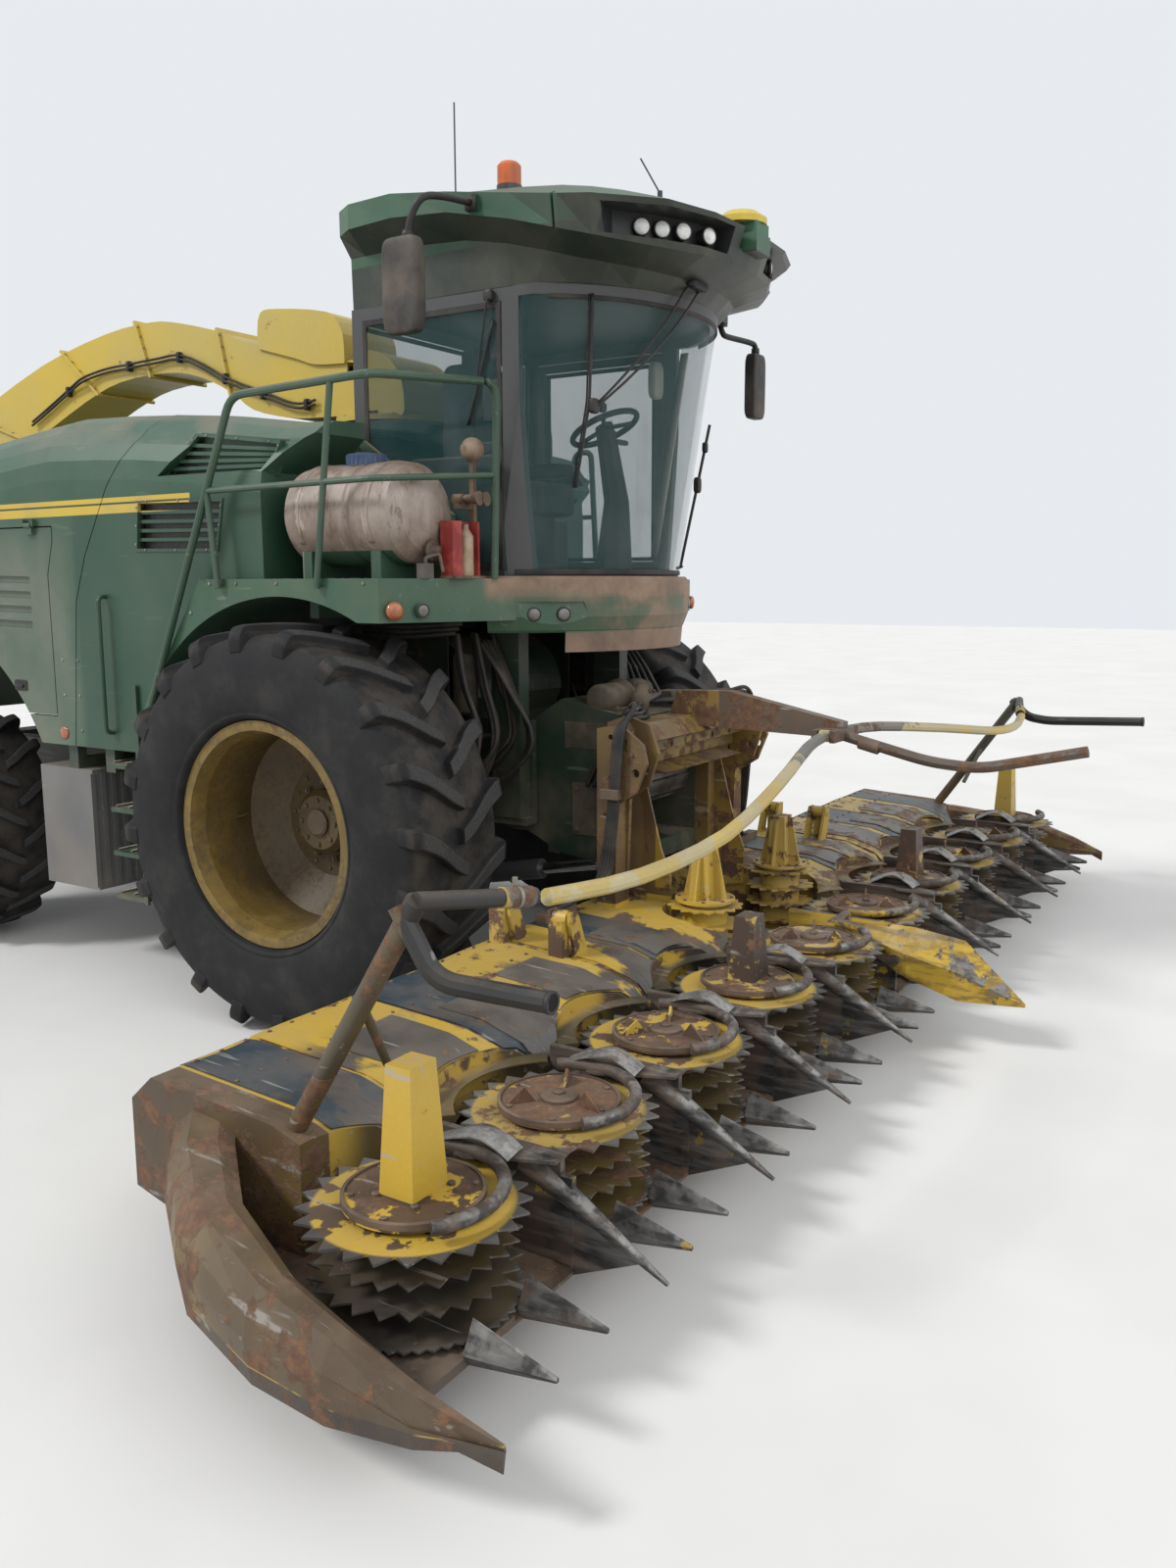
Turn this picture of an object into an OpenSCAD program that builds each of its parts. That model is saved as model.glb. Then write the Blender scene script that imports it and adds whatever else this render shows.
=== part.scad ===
// Forage harvester with a ten-rotor folding maize header, parked with the header held just off
// the ground. Millimetres, +Z up, forward is -Y, the machine's right side is -X.
// Every size below is laid out from the front axle: y = 0 is the axle's plane, z = 0 the ground.

/* [Wheels] */
// Outer diameter of a front tyre over its lugs
front_tyre_d = 2060; // [1980:10:2090]
// Width of a front tyre
front_tyre_w = 720; // [660:10:740]
// Diameter of a front rim over its flanges
front_rim_d = 1130; // [1080:10:1160]
// Middle of the machine to the middle of a front tyre
front_track = 1400; // [1390:5:1430]
// Outer diameter of a rear tyre over its lugs
rear_tyre_d = 1490; // [1440:10:1510]
// Width of a rear tyre
rear_tyre_w = 600; // [540:10:620]
// Diameter of a rear rim over its flanges
rear_rim_d = 760; // [740:10:800]
// Middle of the machine to the middle of a rear tyre
rear_track = 1350; // [1340:5:1380]
// Front axle to rear axle
wheelbase = 3200; // [3150:10:3260]
// Height of the tread lugs
lug_h = 48; // [30:1:55]
// Lugs on each half of a front tyre
front_lugs = 20; // [16:1:22]
// Lugs on each half of a rear tyre
rear_lugs = 18; // [14:1:20]

/* [Chassis] */
// Middle of the machine to the middle of a frame rail
rail_x = 490; // [470:5:500]
// Width of a frame rail
rail_w = 110; // [90:5:120]
// Underside of the frame rails above the ground
rail_z = 880; // [870:5:900]
// Height of a frame rail
rail_h = 290; // [260:5:300]
// Radius of a rear kingpin
kingpin_r = 35; // [28:1:38]
// Radius of the tow pin's hole
hitch_r = 16; // [12:1:20]

/* [Cab] */
// Half the cab's width over its glass
cab_half = 820; // [790:5:830]
// Underside of the glass above the ground
cab_floor_z = 2290; // [2280:5:2310]
// Top of the glass above the ground
cab_top_z = 3650; // [3600:10:3680]
// Thickness of the cab's walls and panes
cab_wall = 26; // [20:1:32]
// Width of a cab post
post_w = 70; // [55:1:80]
// Lean of the windscreen, top forward
screen_lean = 9.5; // [8:0.5:10]
// Thickness of the roof at its rear edge
roof_h = 250; // [220:5:280]

/* [Body] */
// Half the width of the body over its side panels
body_half = 1480; // [1450:5:1490]
// Thickness of the body's sheet walls
body_wall = 40; // [30:1:45]
// Lower edge of the body's skirts above the ground
skirt_z = 1330; // [1310:10:1360]
// Gap between neighbouring body panels
panel_gap = 8; // [5:1:10]
// Radius of the opening round a front wheel
front_arch_r = 1155; // [1140:5:1190]
// Radius of the opening round a rear wheel
rear_arch_r = 1300; // [1270:5:1320]
// Top of the side platforms above the ground
deck_z = 2270; // [2260:5:2280]
// Middle of the machine to the outer edge of a platform
deck_half = 1545; // [1530:5:1555]
// Radius of the handrail tubes
rail_r = 20; // [16:1:24]
// Top of the handrail above the ground
hand_z = 3160; // [3080:10:3200]
// Slats in each body grille
slats = 5; // [3:1:6]

/* [Spout] */
// Half the width of the discharge spout
spout_half = 215; // [190:5:235]
// Thickness of the spout's sheet
spout_wall = 14; // [10:1:20]
// Radius of the turret that turns the spout
turret_r = 300; // [280:5:310]
// Height of the turret's ring above the ground
turret_z = 3180; // [3170:5:3190]

/* [Header] */
// Distance between neighbouring rotors
rotor_pitch = 750; // [740:5:760]
// Radius over a rotor's upper teeth
rotor_r = 338; // [325:1:345]
// Rotor axes ahead of the front axle
rotor_y = 2340; // [2320:5:2360]
// Radius of a rotor's round cover
rotor_cover_r = 205; // [180:5:215]
// Teeth on a rotor's gathering disc
rotor_teeth = 24; // [18:1:28]
// Height of the gathering disc above the ground
rotor_z = 500; // [495:1:505]
// Divider tips ahead of the front axle
tip_y = 2960; // [2930:10:3000]
// Radius of the guard rings over the rotors
ring_r = 258; // [250:1:270]
// Radius of the guard rings' tube
ring_tube_r = 21; // [16:1:24]
// Height of the wings' hinges above the ground
fold_z = 800; // [780:5:820]
// Radius of the guard bars' tube
bar_r = 27; // [22:1:30]
// Radius of the feed drums' discs
drum_r = 190; // [175:5:195]

/* [Lift] */
// Lift pivot ahead of the front axle
lift_y = 620; // [610:5:630]
// Lift pivot above the ground
lift_z = 1200; // [1190:5:1210]
// Radius of the lift pivot's pins
lift_pin_r = 55; // [45:1:60]
// Radius of a lift cylinder's barrel
ram_r = 55; // [48:1:60]
// Radius of a lift cylinder's rod
ram_rod_r = 30; // [25:1:34]

/* [Hidden] */
// Machine plane to the middle of its length
shift_y = -836;
// Radial clearance of a running fit
fit = 0.05;
// Gap between pieces that seat on each other
seat = 0.3;

front_z = front_tyre_d / 2;
rear_z = rear_tyre_d / 2;
front_seat_r = front_rim_d / 2 - 35;
rear_seat_r = rear_rim_d / 2 - 35;
front_stub_r = 90;
rear_stub_r = 60;
front_dish = 200;
rear_dish = 130;
kingpin_x = 1000;
nose_c = [0, -266];
nose_r = 1046;
nose_in = 1005;
deck_y = -650;
box_top = 1190;
crop_half = rail_x - rail_w / 2 - seat;
rail_top = rail_z + rail_h;
screen_r = 975;
screen_y = -385;
post_y = -900;
cab_rear_y = 120;
ram_x = rail_x;
ram_foot = [0, -280, 620];
ram_eye = [0, -1220, 800];
fold_x = 2 * rotor_pitch;
deck_top = 650;
floor_z = 190;
spout_y = 550;
arm_hinge = [0, 700, 3385];
flap_hinge = [0, 4840, 3290];
panel_x = body_half - body_wall;
panel_hinge_z = 2575;
spout_ram_x = 290;
spout_ram_foot = [0, 640, 3250];
spout_ram_eye = [0, 1330, 3290];
drum_x = 470;
drum_y = 1800;
bar_hinge = [130, -2280, 1500];

green = "#1f4d2e";
dark_green = "#16331f";
yellow = "#c9a21c";
rust = "#5a3d2b";
steel = "#8a8780";
black = "#1c1c1c";
grey = "#6b6b66";

// Helpers

function unit(v) = v / norm(v);
function tangent(p, i) =
  unit(i == 0 ? p[1] - p[0] : i == len(p) - 1 ? p[i] - p[i - 1] : p[i + 1] - p[i - 1]);
// A path with each inner corner rounded into six points, starting d from the corner
function bend(p, d, n = 5) = [
  p[0],
  for (i = [1 : len(p) - 2], k = [0 : n])
    let (a = p[i] + d * unit(p[i - 1] - p[i]), b = p[i] + d * unit(p[i + 1] - p[i]), t = k / n)
      (1 - t) * (1 - t) * a + 2 * t * (1 - t) * p[i] + t * t * b,
  p[len(p) - 1]
];
// A smooth curve through points, n steps between neighbours
function smooth(p, n = 4) = [
  for (i = [0 : len(p) - 2], k = [0 : n - 1])
    let (a = p[max(i - 1, 0)], b = p[i], c = p[i + 1], d = p[min(i + 2, len(p) - 1)], t = k / n)
      0.5 * (2 * b + (c - a) * t + (2 * a - 5 * b + 4 * c - d) * t * t
        + (3 * b - a - 3 * c + d) * t * t * t),
  p[len(p) - 1]
];
function flip(p) = [for (i = [len(p) - 1 : -1 : 0]) p[i]];
function arc(c, r, a0, a1, n = 16) =
  [for (i = [0 : n]) let (a = a0 + (a1 - a0) * i / n) c + r * [cos(a), sin(a)]];

// A skin over rings of points, closed at both ends
module skin(rings) {
  m = len(rings[0]);
  last = (len(rings) - 1) * m;
  polyhedron(
    points = [for (r = rings) each r],
    faces = [
      [for (k = [0 : m - 1]) k],
      [for (k = [m - 1 : -1 : 0]) last + k],
      for (i = [0 : len(rings) - 2], k = [0 : m - 1])
        let (a = i * m + k, b = i * m + (k + 1) % m) each [[a, a + m, b], [b, a + m, b + m]]
    ]
  );
}

// A round bar along a path of points
module bar(path, r, n = 10, up = [0.03, 0.05, 1]) {
  skin([
    for (i = [0 : len(path) - 1])
      let (t = tangent(path, i), s = unit(cross(t, up)), w = cross(s, t))
        [for (k = [0 : n - 1]) path[i] + r * (cos(360 * k / n) * s - sin(360 * k / n) * w)]
  ]);
}

// Children drawn in the side view (y, z), extruded from x0 to x1
module side(x0, x1) translate([x0, 0, 0]) rotate([90, 0, 90]) linear_extrude(height = x1 - x0)
  children();

// A round pin along X, centred on c
module pin_x(c, r, h) translate(c) rotate([0, 90, 0]) cylinder(h = h, r = r, center = true, $fn = 48);

// A round rod between two points
module rod(a, b, r) {
  d = b - a;
  translate(a) rotate([0, acos(d[2] / norm(d)), atan2(d[1], d[0])])
    cylinder(h = norm(d), r = r, $fn = 40);
}

// A box given by its two corners
module block(a, b) translate(a) cube(b - a);

module both() {
  children();
  mirror([1, 0, 0]) children();
}

// Wheels

// Half of a tyre's section from the bead to the crown, as [radius, offset]
function tyre_half(rb, rc, w) = let (h = rc - rb) [
  [rb, 0.40 * w], [rb + 36, 0.40 * w], [rb + 0.11 * h, 0.455 * w], [rb + 0.26 * h, 0.49 * w], [rb +
    0.48 * h, 0.5 * w],
  [rb + 0.70 * h, 0.49 * w], [rb + 0.86 * h, 0.465 * w], [rc - 0.05 * h, 0.43 * w],
  [rc - 3, 0.37 * w], [rc + 4, 0.18 * w]
];

// One lug, cut from a radial prism; s picks the half of the tread
module lug(r, w, s) {
  rotate([0, 90, 0]) linear_extrude(height = r)
    polygon([
      for (p = [[-0.015, 0.02], [0.10, 0.06], [0.28, 0.155], [0.495, 0.215],
                [0.495, 0.285], [0.25, 0.225], [0.08, 0.125], [-0.015, 0.085]])
        [s * p[0] * w, -p[1] * r]
    ]);
}

module tyre(d, w, seat_r, lugs) color(black) rotate([0, 90, 0]) {
  r = d / 2;
  rc = r - lug_h;
  half = tyre_half(seat_r, rc, w);
  rotate_extrude($fn = 72)
    polygon(concat(half, [for (p = flip(half)) [p[0], -p[1]]]));
  intersection() {
    rotate_extrude($fn = 72) polygon([
      [rc - 60, -0.475 * w], [rc - 20, -0.478 * w], [r - 14, -0.455 * w], [r, -0.40 * w],
      [r, 0.40 * w], [r - 14, 0.455 * w], [rc - 20, 0.478 * w], [rc - 60, 0.475 * w]
    ]);
    for (i = [0 : lugs - 1], s = [-1, 1])
      rotate([0, 0, 360 * (i + (s + 1) / 4) / lugs]) lug(r + 5, w, s);
  }
}

// A rim with its dished disc and hub, open towards -X; the stub it runs on has radius stub_r
module rim(seat_r, w, dish, stub_r, reach) color(yellow) rotate([0, 90, 0]) {
  h = 0.40 * w;
  t = 14;
  hub_r = stub_r + 80;
  rotate_extrude($fn = 72) polygon([
    [seat_r - t - seat, -h - 20], [seat_r + 35, -h - 20], [seat_r + 35, -h - seat],
    [seat_r - seat, -h - seat], [seat_r - seat, h + seat], [seat_r + 35, h + seat],
    [seat_r + 35, h + 20], [seat_r - t - seat, h + 20], [seat_r - t - 22, h - 60],
    [seat_r - t - 22, -dish + 120], [hub_r + 130, -dish + 20], [hub_r, -dish + 20],
    [hub_r, -dish + 90], [hub_r - 30, -dish + 120], [0, -dish + 120], [0, -dish + 50],
    [stub_r + fit, -dish + 50], [stub_r + fit, -dish - reach],
    [hub_r + 60, -dish - reach], [hub_r + 60, -dish], [hub_r + 130, -dish],
    [seat_r - t - 22, -dish + 90], [seat_r - t - 22, -h + 60]
  ]);
}

module front_wheel(s) translate([s * front_track, 0, front_z]) mirror([s > 0 ? 0 : 1, 0, 0])
  children();
module rear_wheel(s) translate([s * rear_track, wheelbase, rear_z]) mirror([s > 0 ? 0 : 1, 0, 0])
  children();

module front_rim(s) front_wheel(s) rim(front_seat_r, front_tyre_w, front_dish, front_stub_r, 60);
module rear_rim(s) rear_wheel(s) rim(rear_seat_r, rear_tyre_w, rear_dish, rear_stub_r, 30);
module front_tyre(s) front_wheel(s) tyre(front_tyre_d, front_tyre_w, front_seat_r, front_lugs);
module rear_tyre(s) rear_wheel(s) tyre(rear_tyre_d, rear_tyre_w, rear_seat_r, rear_lugs);

// Chassis

module chassis_frame() color(dark_green) {
  front_in = front_track - front_dish - 70;
  difference() {
    union() {
      both() {
        block([rail_x - rail_w / 2, -350, rail_z], [rail_x + rail_w / 2, 4150, rail_top]);
        pin_x([(front_in + 740) / 2, 0, front_z], 300, front_in - 740);
        pin_x([front_in + 50, 0, front_z], front_stub_r, 130);
        // Plates that carry the lift pivot, and the cab's front legs on them
        block([435, -760, 960], [475, -300, 1520]);
        block([435, -760, 960], [545, -330, 1000]);
        block([475, -740, 1000], [565, -560, 2060]);
        block([rail_x - 50, 20, rail_top], [rail_x + 50, 120, 2060]);
        // Ears for the lift cylinders
        for (x = [ram_x - 44, ram_x + 24])
          block([x, ram_foot[1] - 42, ram_foot[2] - 45], [x + 20, ram_foot[1] + 42, rail_z + 5]);
      }
      pin_x([0, 0, front_z], 145, 1500);
      intersection() {
        block([-cab_half, -1300, 2060], [cab_half, 130, 2140]);
        translate([0, nose_c[1], 2000]) cylinder(h = 200, r = nose_in - 2, $fn = 96);
      }
      block([-rail_x, 1500, rail_z], [rail_x, 1640, rail_top]);
      // Outriggers and rear posts that carry the body
      both() for (y = [1440, 1770]) {
        block([rail_x - 50, y, rail_top - 20], [rail_x + 50, y + 80, box_top + 60]);
        block([rail_x, y, box_top + seat], [panel_x - seat, y + 80, box_top + 60]);
        block([panel_x - 60, y, box_top + seat], [panel_x - seat, y + 80, skirt_z + 60]);
      }
      both() block([rail_x - 50, 4080, rail_top - 100], [rail_x + 50, 4310 - seat, skirt_z + 120]);
      block([-rail_x, 3950, rail_z + 20], [rail_x, 4150, rail_top]);
      block([-160, 4090, 700], [160, 4290, 770]);
      both() block([110, 4050, 700], [160, 4150, rail_top]);
    }
    both() pin_x([455, -lift_y, lift_z], lift_pin_r + fit, 120);
    translate([0, 4220, 650]) cylinder(h = 200, r = hitch_r, $fn = 40);
  }
  both() pin_x([ram_x, ram_foot[1], ram_foot[2]], 25, 90);
}

module rear_axle() color(dark_green) translate([0, wheelbase, rear_z]) {
  difference() {
    union() {
      block([-890, -110, -105], [890, 110, 105]);
      block([-rail_x - 50, -100, 60], [rail_x + 50, 100, rail_z - rear_z - seat]);
      both() for (z = [-130, 90]) block([840, -80, z], [kingpin_x + 55, 80, z + 40]);
      both() block([840, -80, -130], [890, 80, 130]);
      // Steering cylinder behind the beam
      both() block([250, 100, -40], [290, 190, 40]);
      pin_x([0, 165, 0], 42, 620);
    }
    both() translate([kingpin_x, 0, -200]) cylinder(h = 400, r = kingpin_r + fit, $fn = 40);
  }
}

module knuckle(s) color(rust) translate([s * kingpin_x, wheelbase, rear_z])
  mirror([s > 0 ? 0 : 1, 0, 0]) {
    stub_end = rear_track - rear_dish - kingpin_x;
    block([-62, -70, -86], [50, 70, 86]);
    translate([0, 0, -150]) cylinder(h = 300, r = kingpin_r, $fn = 40);
    pin_x([25 + stub_end / 2, 0, 0], rear_stub_r, stub_end + 30);
    block([-20, 60, -15], [20, 200, 15]);
  }

module engine_block() color(grey) {
  block([-520, 2050, rail_top + seat], [520, 2950, 1750]);
  for (y = [2060, 2560]) block([-500, y, 1750], [500, y + 380, 2080]);
  block([-300, 2300, 2080], [300, 2700, 2200]);
}

module crop_housing() color(dark_green) {
  difference() {
    union() {
      // Cutter drum housing over the axle, then the duct up to the turret
      side(-crop_half, crop_half) polygon(concat([[-300, rail_top + 20], [-300, 1500]],
        arc([-20, 1620], 330, 180, 90), [[500, 1980], [820, 1700], [820, rail_top + 20]]));
      block([-290, 240, 1900], [290, 860, 2700]);
      translate([0, spout_y, 2600]) cylinder(h = turret_z - 2600 - 12, r = turret_r + 40, $fn = 64);
    }
    translate([0, spout_y, 2640]) cylinder(h = 800, r = turret_r + fit, $fn = 64);
    translate([0, spout_y, 2200]) cylinder(h = 800, r = turret_r - 60, $fn = 64);
  }
}

// Cab

// Windscreen's cylinder, leaning forward about the middle of the glass
module screen(r) translate([0, screen_y, 3000]) rotate([screen_lean, 0, 0])
  translate([0, 0, -900]) cylinder(h = 1800, r = r, $fn = 96);

module screen_shell(r, t) difference() {
  screen(r);
  screen(r - t);
}

// The cab's inside and outside as solids between two heights
module cab_solid(inset, z0, z1) {
  intersection() {
    union() {
      screen(screen_r - inset);
      block([-2000, post_y + 60, 0], [2000, 2000, 5000]);
    }
    block([-cab_half + inset, -3000, z0], [cab_half - inset, cab_rear_y - inset, z1]);
  }
}

door_y0 = post_y + 66;
door_y1 = cab_rear_y - post_w - 6;
door_z0 = cab_floor_z + 26;
door_z1 = cab_top_z - 66;
door_hinges = [door_z0 + 200, door_z1 - 200];
module cab_frame() color(black) {
  // Hinge pins of the door on the front post
  for (z = door_hinges) {
    translate([cab_half + 16, door_y0 - 4, z - 20]) cylinder(h = 100, r = 6, $fn = 24);
    for (d = [-20, 66]) {
      translate([cab_half + 16, door_y0 - 4, z + d]) cylinder(h = 14, r = 11, $fn = 24);
      block([cab_half - 10, door_y0 - 40, z + d], [cab_half + 27, door_y0 - 12, z + d + 14]);
    }
  }
  difference() {
    cab_solid(0, 2140 + seat, cab_top_z);
    cab_solid(cab_wall + 8, cab_floor_z - 30, cab_top_z + 10);
    // Windscreen's opening
    intersection() {
      block([-2000, -3000, cab_floor_z], [2000, post_y - 40, cab_top_z - 50]);
      screen(screen_r + 50);
    }
    // Side openings between the posts
    block([-2000, post_y + 60, cab_floor_z + 20], [2000, cab_rear_y - post_w, cab_top_z - 60]);
    // Rear window
    block([-cab_half + post_w, 0, 2950], [cab_half - post_w, 400, cab_top_z - 60]);
  }
}

module cab_glass() color("#5f7f74", 0.5) {
  // Windscreen
  difference() {
    intersection() {
      screen_shell(screen_r, cab_wall + 8);
      block([-cab_half, -3000, cab_floor_z + seat], [cab_half, post_y - 40 - seat,
        cab_top_z - 50 - seat]);
    }
  }
  // Right side window
  block([-cab_half, post_y + 60 + seat, cab_floor_z + 20 + seat],
    [-cab_half + cab_wall + 8, cab_rear_y - post_w - seat, cab_top_z - 60 - seat]);
  // Rear window
  block([-cab_half + post_w + seat, cab_rear_y - cab_wall - 8, 2950 + seat],
    [cab_half - post_w - seat, cab_rear_y, cab_top_z - 60 - seat]);
}

// Left door, hung on the front post; its frame is a rim round the pane
module cab_door() color(black) {
  difference() {
    block([cab_half - cab_wall - 8, door_y0, door_z0], [cab_half, door_y1, door_z1]);
    block([0, door_y0 + 45, door_z0 + 60], [2000, door_y1 - 45, door_z1 - 45]);
  }
  for (z = door_hinges) difference() {
    translate([cab_half + 16, door_y0 - 4, z]) cylinder(h = 60, r = 14, $fn = 32);
    translate([cab_half + 16, door_y0 - 4, z - 10]) cylinder(h = 80, r = 6 + fit, $fn = 24);
  }
  for (z = door_hinges)
    block([cab_half - 5, door_y0 + 7, z], [cab_half + 16, door_y0 + 60, z + 60]);
  bar(bend([[cab_half, door_y1 - 22, 2950], [cab_half + 60, door_y1 - 30, 2950],
    [cab_half + 60, door_y1 - 30, 3200], [cab_half, door_y1 - 22, 3200]], 40), 12, 8, [0, 1, 0.1]);
}
module door_glass() color("#5f7f74", 0.5)
  block([cab_half - cab_wall, door_y0 + 45 + seat, door_z0 + 60 + seat],
    [cab_half - 6, door_y1 - 45 - seat, door_z1 - 45 - seat]);

// Right half of the roof from the middle of its rear to the middle of its front, as
// [x, y, z] of the cab's top edge, the underside, the lip, the brow and the crown
roof_rows = [
  [[0, 116, 3650], [0, 118, 3900], [0, 140, 4000], [0, 138, 4120], [0, 68, 0]],
  [[816, 110, 3650], [822, 110, 3900], [880, 130, 4000], [880, 130, 4120], [780, 60, 0]],
  [[820, 0, 3650], [832, 0, 3900], [960, 0, 4000], [955, 0, 4120], [850, -10, 0]],
  [[822, -300, 3650], [836, -300, 3905], [990, -300, 4004], [988, -300, 4116], [880, -300, 0]],
  [[823, -650, 3650], [840, -650, 3885], [1000, -650, 3976], [1002, -650, 4068], [895, -650, 0]],
  [[822, -900, 3650], [850, -900, 3835], [1002, -1020, 3893], [1008, -1020, 4004], [890, -1000, 0]],
  [[812, -1040, 3650], [850, -1120, 3775], [985, -1270, 3822], [1006, -1280, 3962], [860, -1220, 0]],
  [[740, -1165, 3650], [780, -1240, 3745], [900, -1400, 3796], [962, -1430, 3952], [800, -1340, 0]],
  [[620, -1275, 3650], [660, -1340, 3732], [765, -1490, 3786], [835, -1558, 3950], [705, -1445, 0]],
  [[480, -1365, 3650], [520, -1430, 3722], [622, -1575, 3780], [695, -1684, 3950], [570, -1540, 0]],
  [[280, -1445, 3650], [300, -1510, 3716], [365, -1700, 3776], [405, -1775, 3948], [350, -1610, 0]],
  [[110, -1475, 3650], [110, -1540, 3715], [130, -1742, 3775], [135, -1800, 3944], [120, -1640, 0]],
  [[0, -1480, 3650], [0, -1545, 3715], [0, -1748, 3775], [0, -1804, 3942], [0, -1645, 0]]];
function crown_z(y) = 3895 + roof_h + (y - 60) * 0.0805;
function roof_point(i, k, s) = let (p = roof_rows[i][k])
  [s * p[0], p[1], k == 4 ? crown_z(p[1]) : k == 0 ? p[2] + seat : p[2]];
function roof_ring(k) = let (n = len(roof_rows))
  concat([for (i = [0 : n - 1]) roof_point(i, k, -1)], [for (i = [n - 2 : -1 : 1]) roof_point(i, k,
    1)]);
lamp_places = [[[650, -1512], 40], [[562, -1568], 48], [[478, -1634], 52], [[345, -1696], 66]];
module cab_roof() translate([0, 0, cab_top_z - 3650]) {
  color(dark_green) difference() {
    skin([for (k = [0 : 4]) roof_ring(k)]);
    // Recess of the work lamps on each side, the receiver's notch and the seam behind the visor
    both() translate([0, 0, 3808]) linear_extrude(height = 118) polygon([[860, -1440], [760,
      -1425], [610, -1535],
      [470, -1610], [340, -1660], [215, -1675], [215, -1950], [1100, -1950], [1100, -1500]]);
    block([-135, -1900, 3852], [135, -1575, 4100]);
    both() block([972, -1262, 3600], [1100, -1248, 4200]);
  }
  // Work lamps
  color("#d8d8d0") both() for (p = lamp_places)
    translate([p[0][0], p[0][1] - 2, 3862]) rotate([90, 0, 90 - p[1]]) translate([0, 0, -70])
      cylinder(h = 90, r = 39, $fn = 32);
  color(dark_green) {
    // Seats of the beacon, the receiver, the aerials and the mirrors
    translate([-700, -810, 3950]) cylinder(h = 150, r = 66, $fn = 40);
    block([-80, -1835, 3840], [80, -1560, 3932]);
    translate([-800, -560, 3950]) cylinder(h = 165, r = 14, $fn = 24);
    translate([-500, -1530, 3920]) cylinder(h = 105, r = 14, $fn = 24);
    block([-1016, -850, 3952], [-930, -790, 4022]);
    block([880, -1190, 3738], [946, -1128, 3860]);
  }
}

module cab_interior() color(black) {
  zf = cab_floor_z - 30 + seat;
  // Seat
  block([-240, -560, zf + 380], [240, -80, zf + 520]);
  block([-230, -140, zf + 520], [230, -30, zf + 1150]);
  block([-150, -500, zf], [150, -160, zf + 380]);
  for (x = [-330, 222]) block([x, -480, zf + 600], [x + 108, -70, zf + 660]);
  block([-420, -600, zf], [-270, -60, zf + 600]);
  // Steering column and wheel
  skin([for (p = [[-980, 0, 110], [-1000, 420, 70], [-930, 800, 55]])
    [for (k = [0 : 7]) [p[2] * cos(45 * k), p[0] + p[2] * sin(45 * k), zf + p[1]]]]);
  translate([0, -925, zf + 810]) rotate([-25, 0, 0]) {
    rotate_extrude($fn = 48) translate([185, 0]) circle(r = 16, $fn = 24);
    for (a = [90, 210, 330]) rotate([0, 90, a]) cylinder(h = 180, r = 12, $fn = 20);
    cylinder(h = 30, r = 50, center = true, $fn = 32);
  }
}

module mirrors() color(black) translate([0, 0, cab_top_z - 3650]) {
  block([-1030, -850, 3952], [-1016 - seat, -790, 4022]);
  bar(bend([[-1024, -820, 3987], [-1300, -760, 3970], [-1310, -660, 3780]], 90), 17, 8);
  block([-1370, -770, 3370], [-1290, -560, 3790]);
  block([880, -1190, 3722], [946, -1128, 3738 - seat]);
  bar(bend([[913, -1158, 3730], [913, -1170, 3670], [1236, -1230, 3668], [1250, -1230, 3590]], 30),
    17, 8);
  block([1170, -1270, 3230], [1330, -1190, 3610]);
}

module roof_fittings() translate([0, 0, cab_top_z - 3650]) {
  // Beacon
  color(black) translate([-700, -810, 4100 + seat]) cylinder(h = 40, r = 62, $fn = 40);
  color("#c2501b") translate([-700, -810, 4140]) {
    cylinder(h = 90, r = 58, $fn = 40);
    translate([0, 0, 90]) cylinder(h = 16, r1 = 58, r2 = 44, $fn = 40);
  }
  // Position receiver in its notch, its lead hanging down
  color(green) block([-70, -1830, 3932 + seat], [70, -1630, 3986]);
  color(yellow) translate([0, -1712, 3985]) {
    cylinder(h = 30, r = 128, $fn = 48);
    translate([0, 0, 30]) cylinder(h = 32, r1 = 128, r2 = 82, $fn = 48);
  }
  // Aerials
  color(black) translate([-800, -560, 4115 + seat]) cylinder(h = 420, r = 4, $fn = 16);
  color(black) translate([-500, -1530, 4025 + seat]) cylinder(h = 30, r = 12, $fn = 16);
  color(black) rod([-500, -1530, 4045], [-500, -1425, 4215], 4);
}

// Body

// Height of the body's top along the machine, at its middle
function top_z(y) = lookup(y, [[100, 3080], [600, 3150], [1200, 3200], [1900, 3220], [2600, 3140],
  [3300, 3060], [3900, 2970], [4350, 2860]]);
// The body's section at y, as points from the lower left round the top to the lower right
function body_ring(y, half, z0, drop) = let (zt = top_z(y) - drop, r = 400 - drop / 2) [
  [half, y, z0], [half, y, zt - r],
  for (a = [15 : 15 : 75]) [half - r + r * cos(a), y, zt - r * 0.98 + r * sin(a) * 0.92],
  [half - r, y, zt - 30], [half * 0.35, y, zt - 6],
  [-half * 0.35, y, zt - 6], [r - half, y, zt - 30],
  for (a = [105 : 15 : 165]) [r - half + r * cos(a), y, zt - r * 0.98 + r * sin(a) * 0.92],
  [-half, y, zt - r], [-half, y, z0]
];
module body_form(y0, y1, inset, z0) {
  n = 8;
  skin([for (i = [0 : n]) flip(body_ring(y0 + (y1 - y0) * i / n, body_half - inset, z0, inset))]);
}

// Seam between the hood and the rear body, in side view
seam = [[1060, 3300], [1110, 3020], [1330, 2750], [1540, 2400], [1640, 2150], [1730, 1320], [1740,
  1200]];

// Grilles: how far the frame lies inside the body's widest line, then its corners (y, z)
grilles = [[62, [905, 2800], [640, 2990], [70, 2920], [160, 2800]],
  [2, [1085, 2432], [1060, 2668], [430, 2655], [480, 2424]]];
function grille_x(g) = body_half - g[0];
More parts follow.
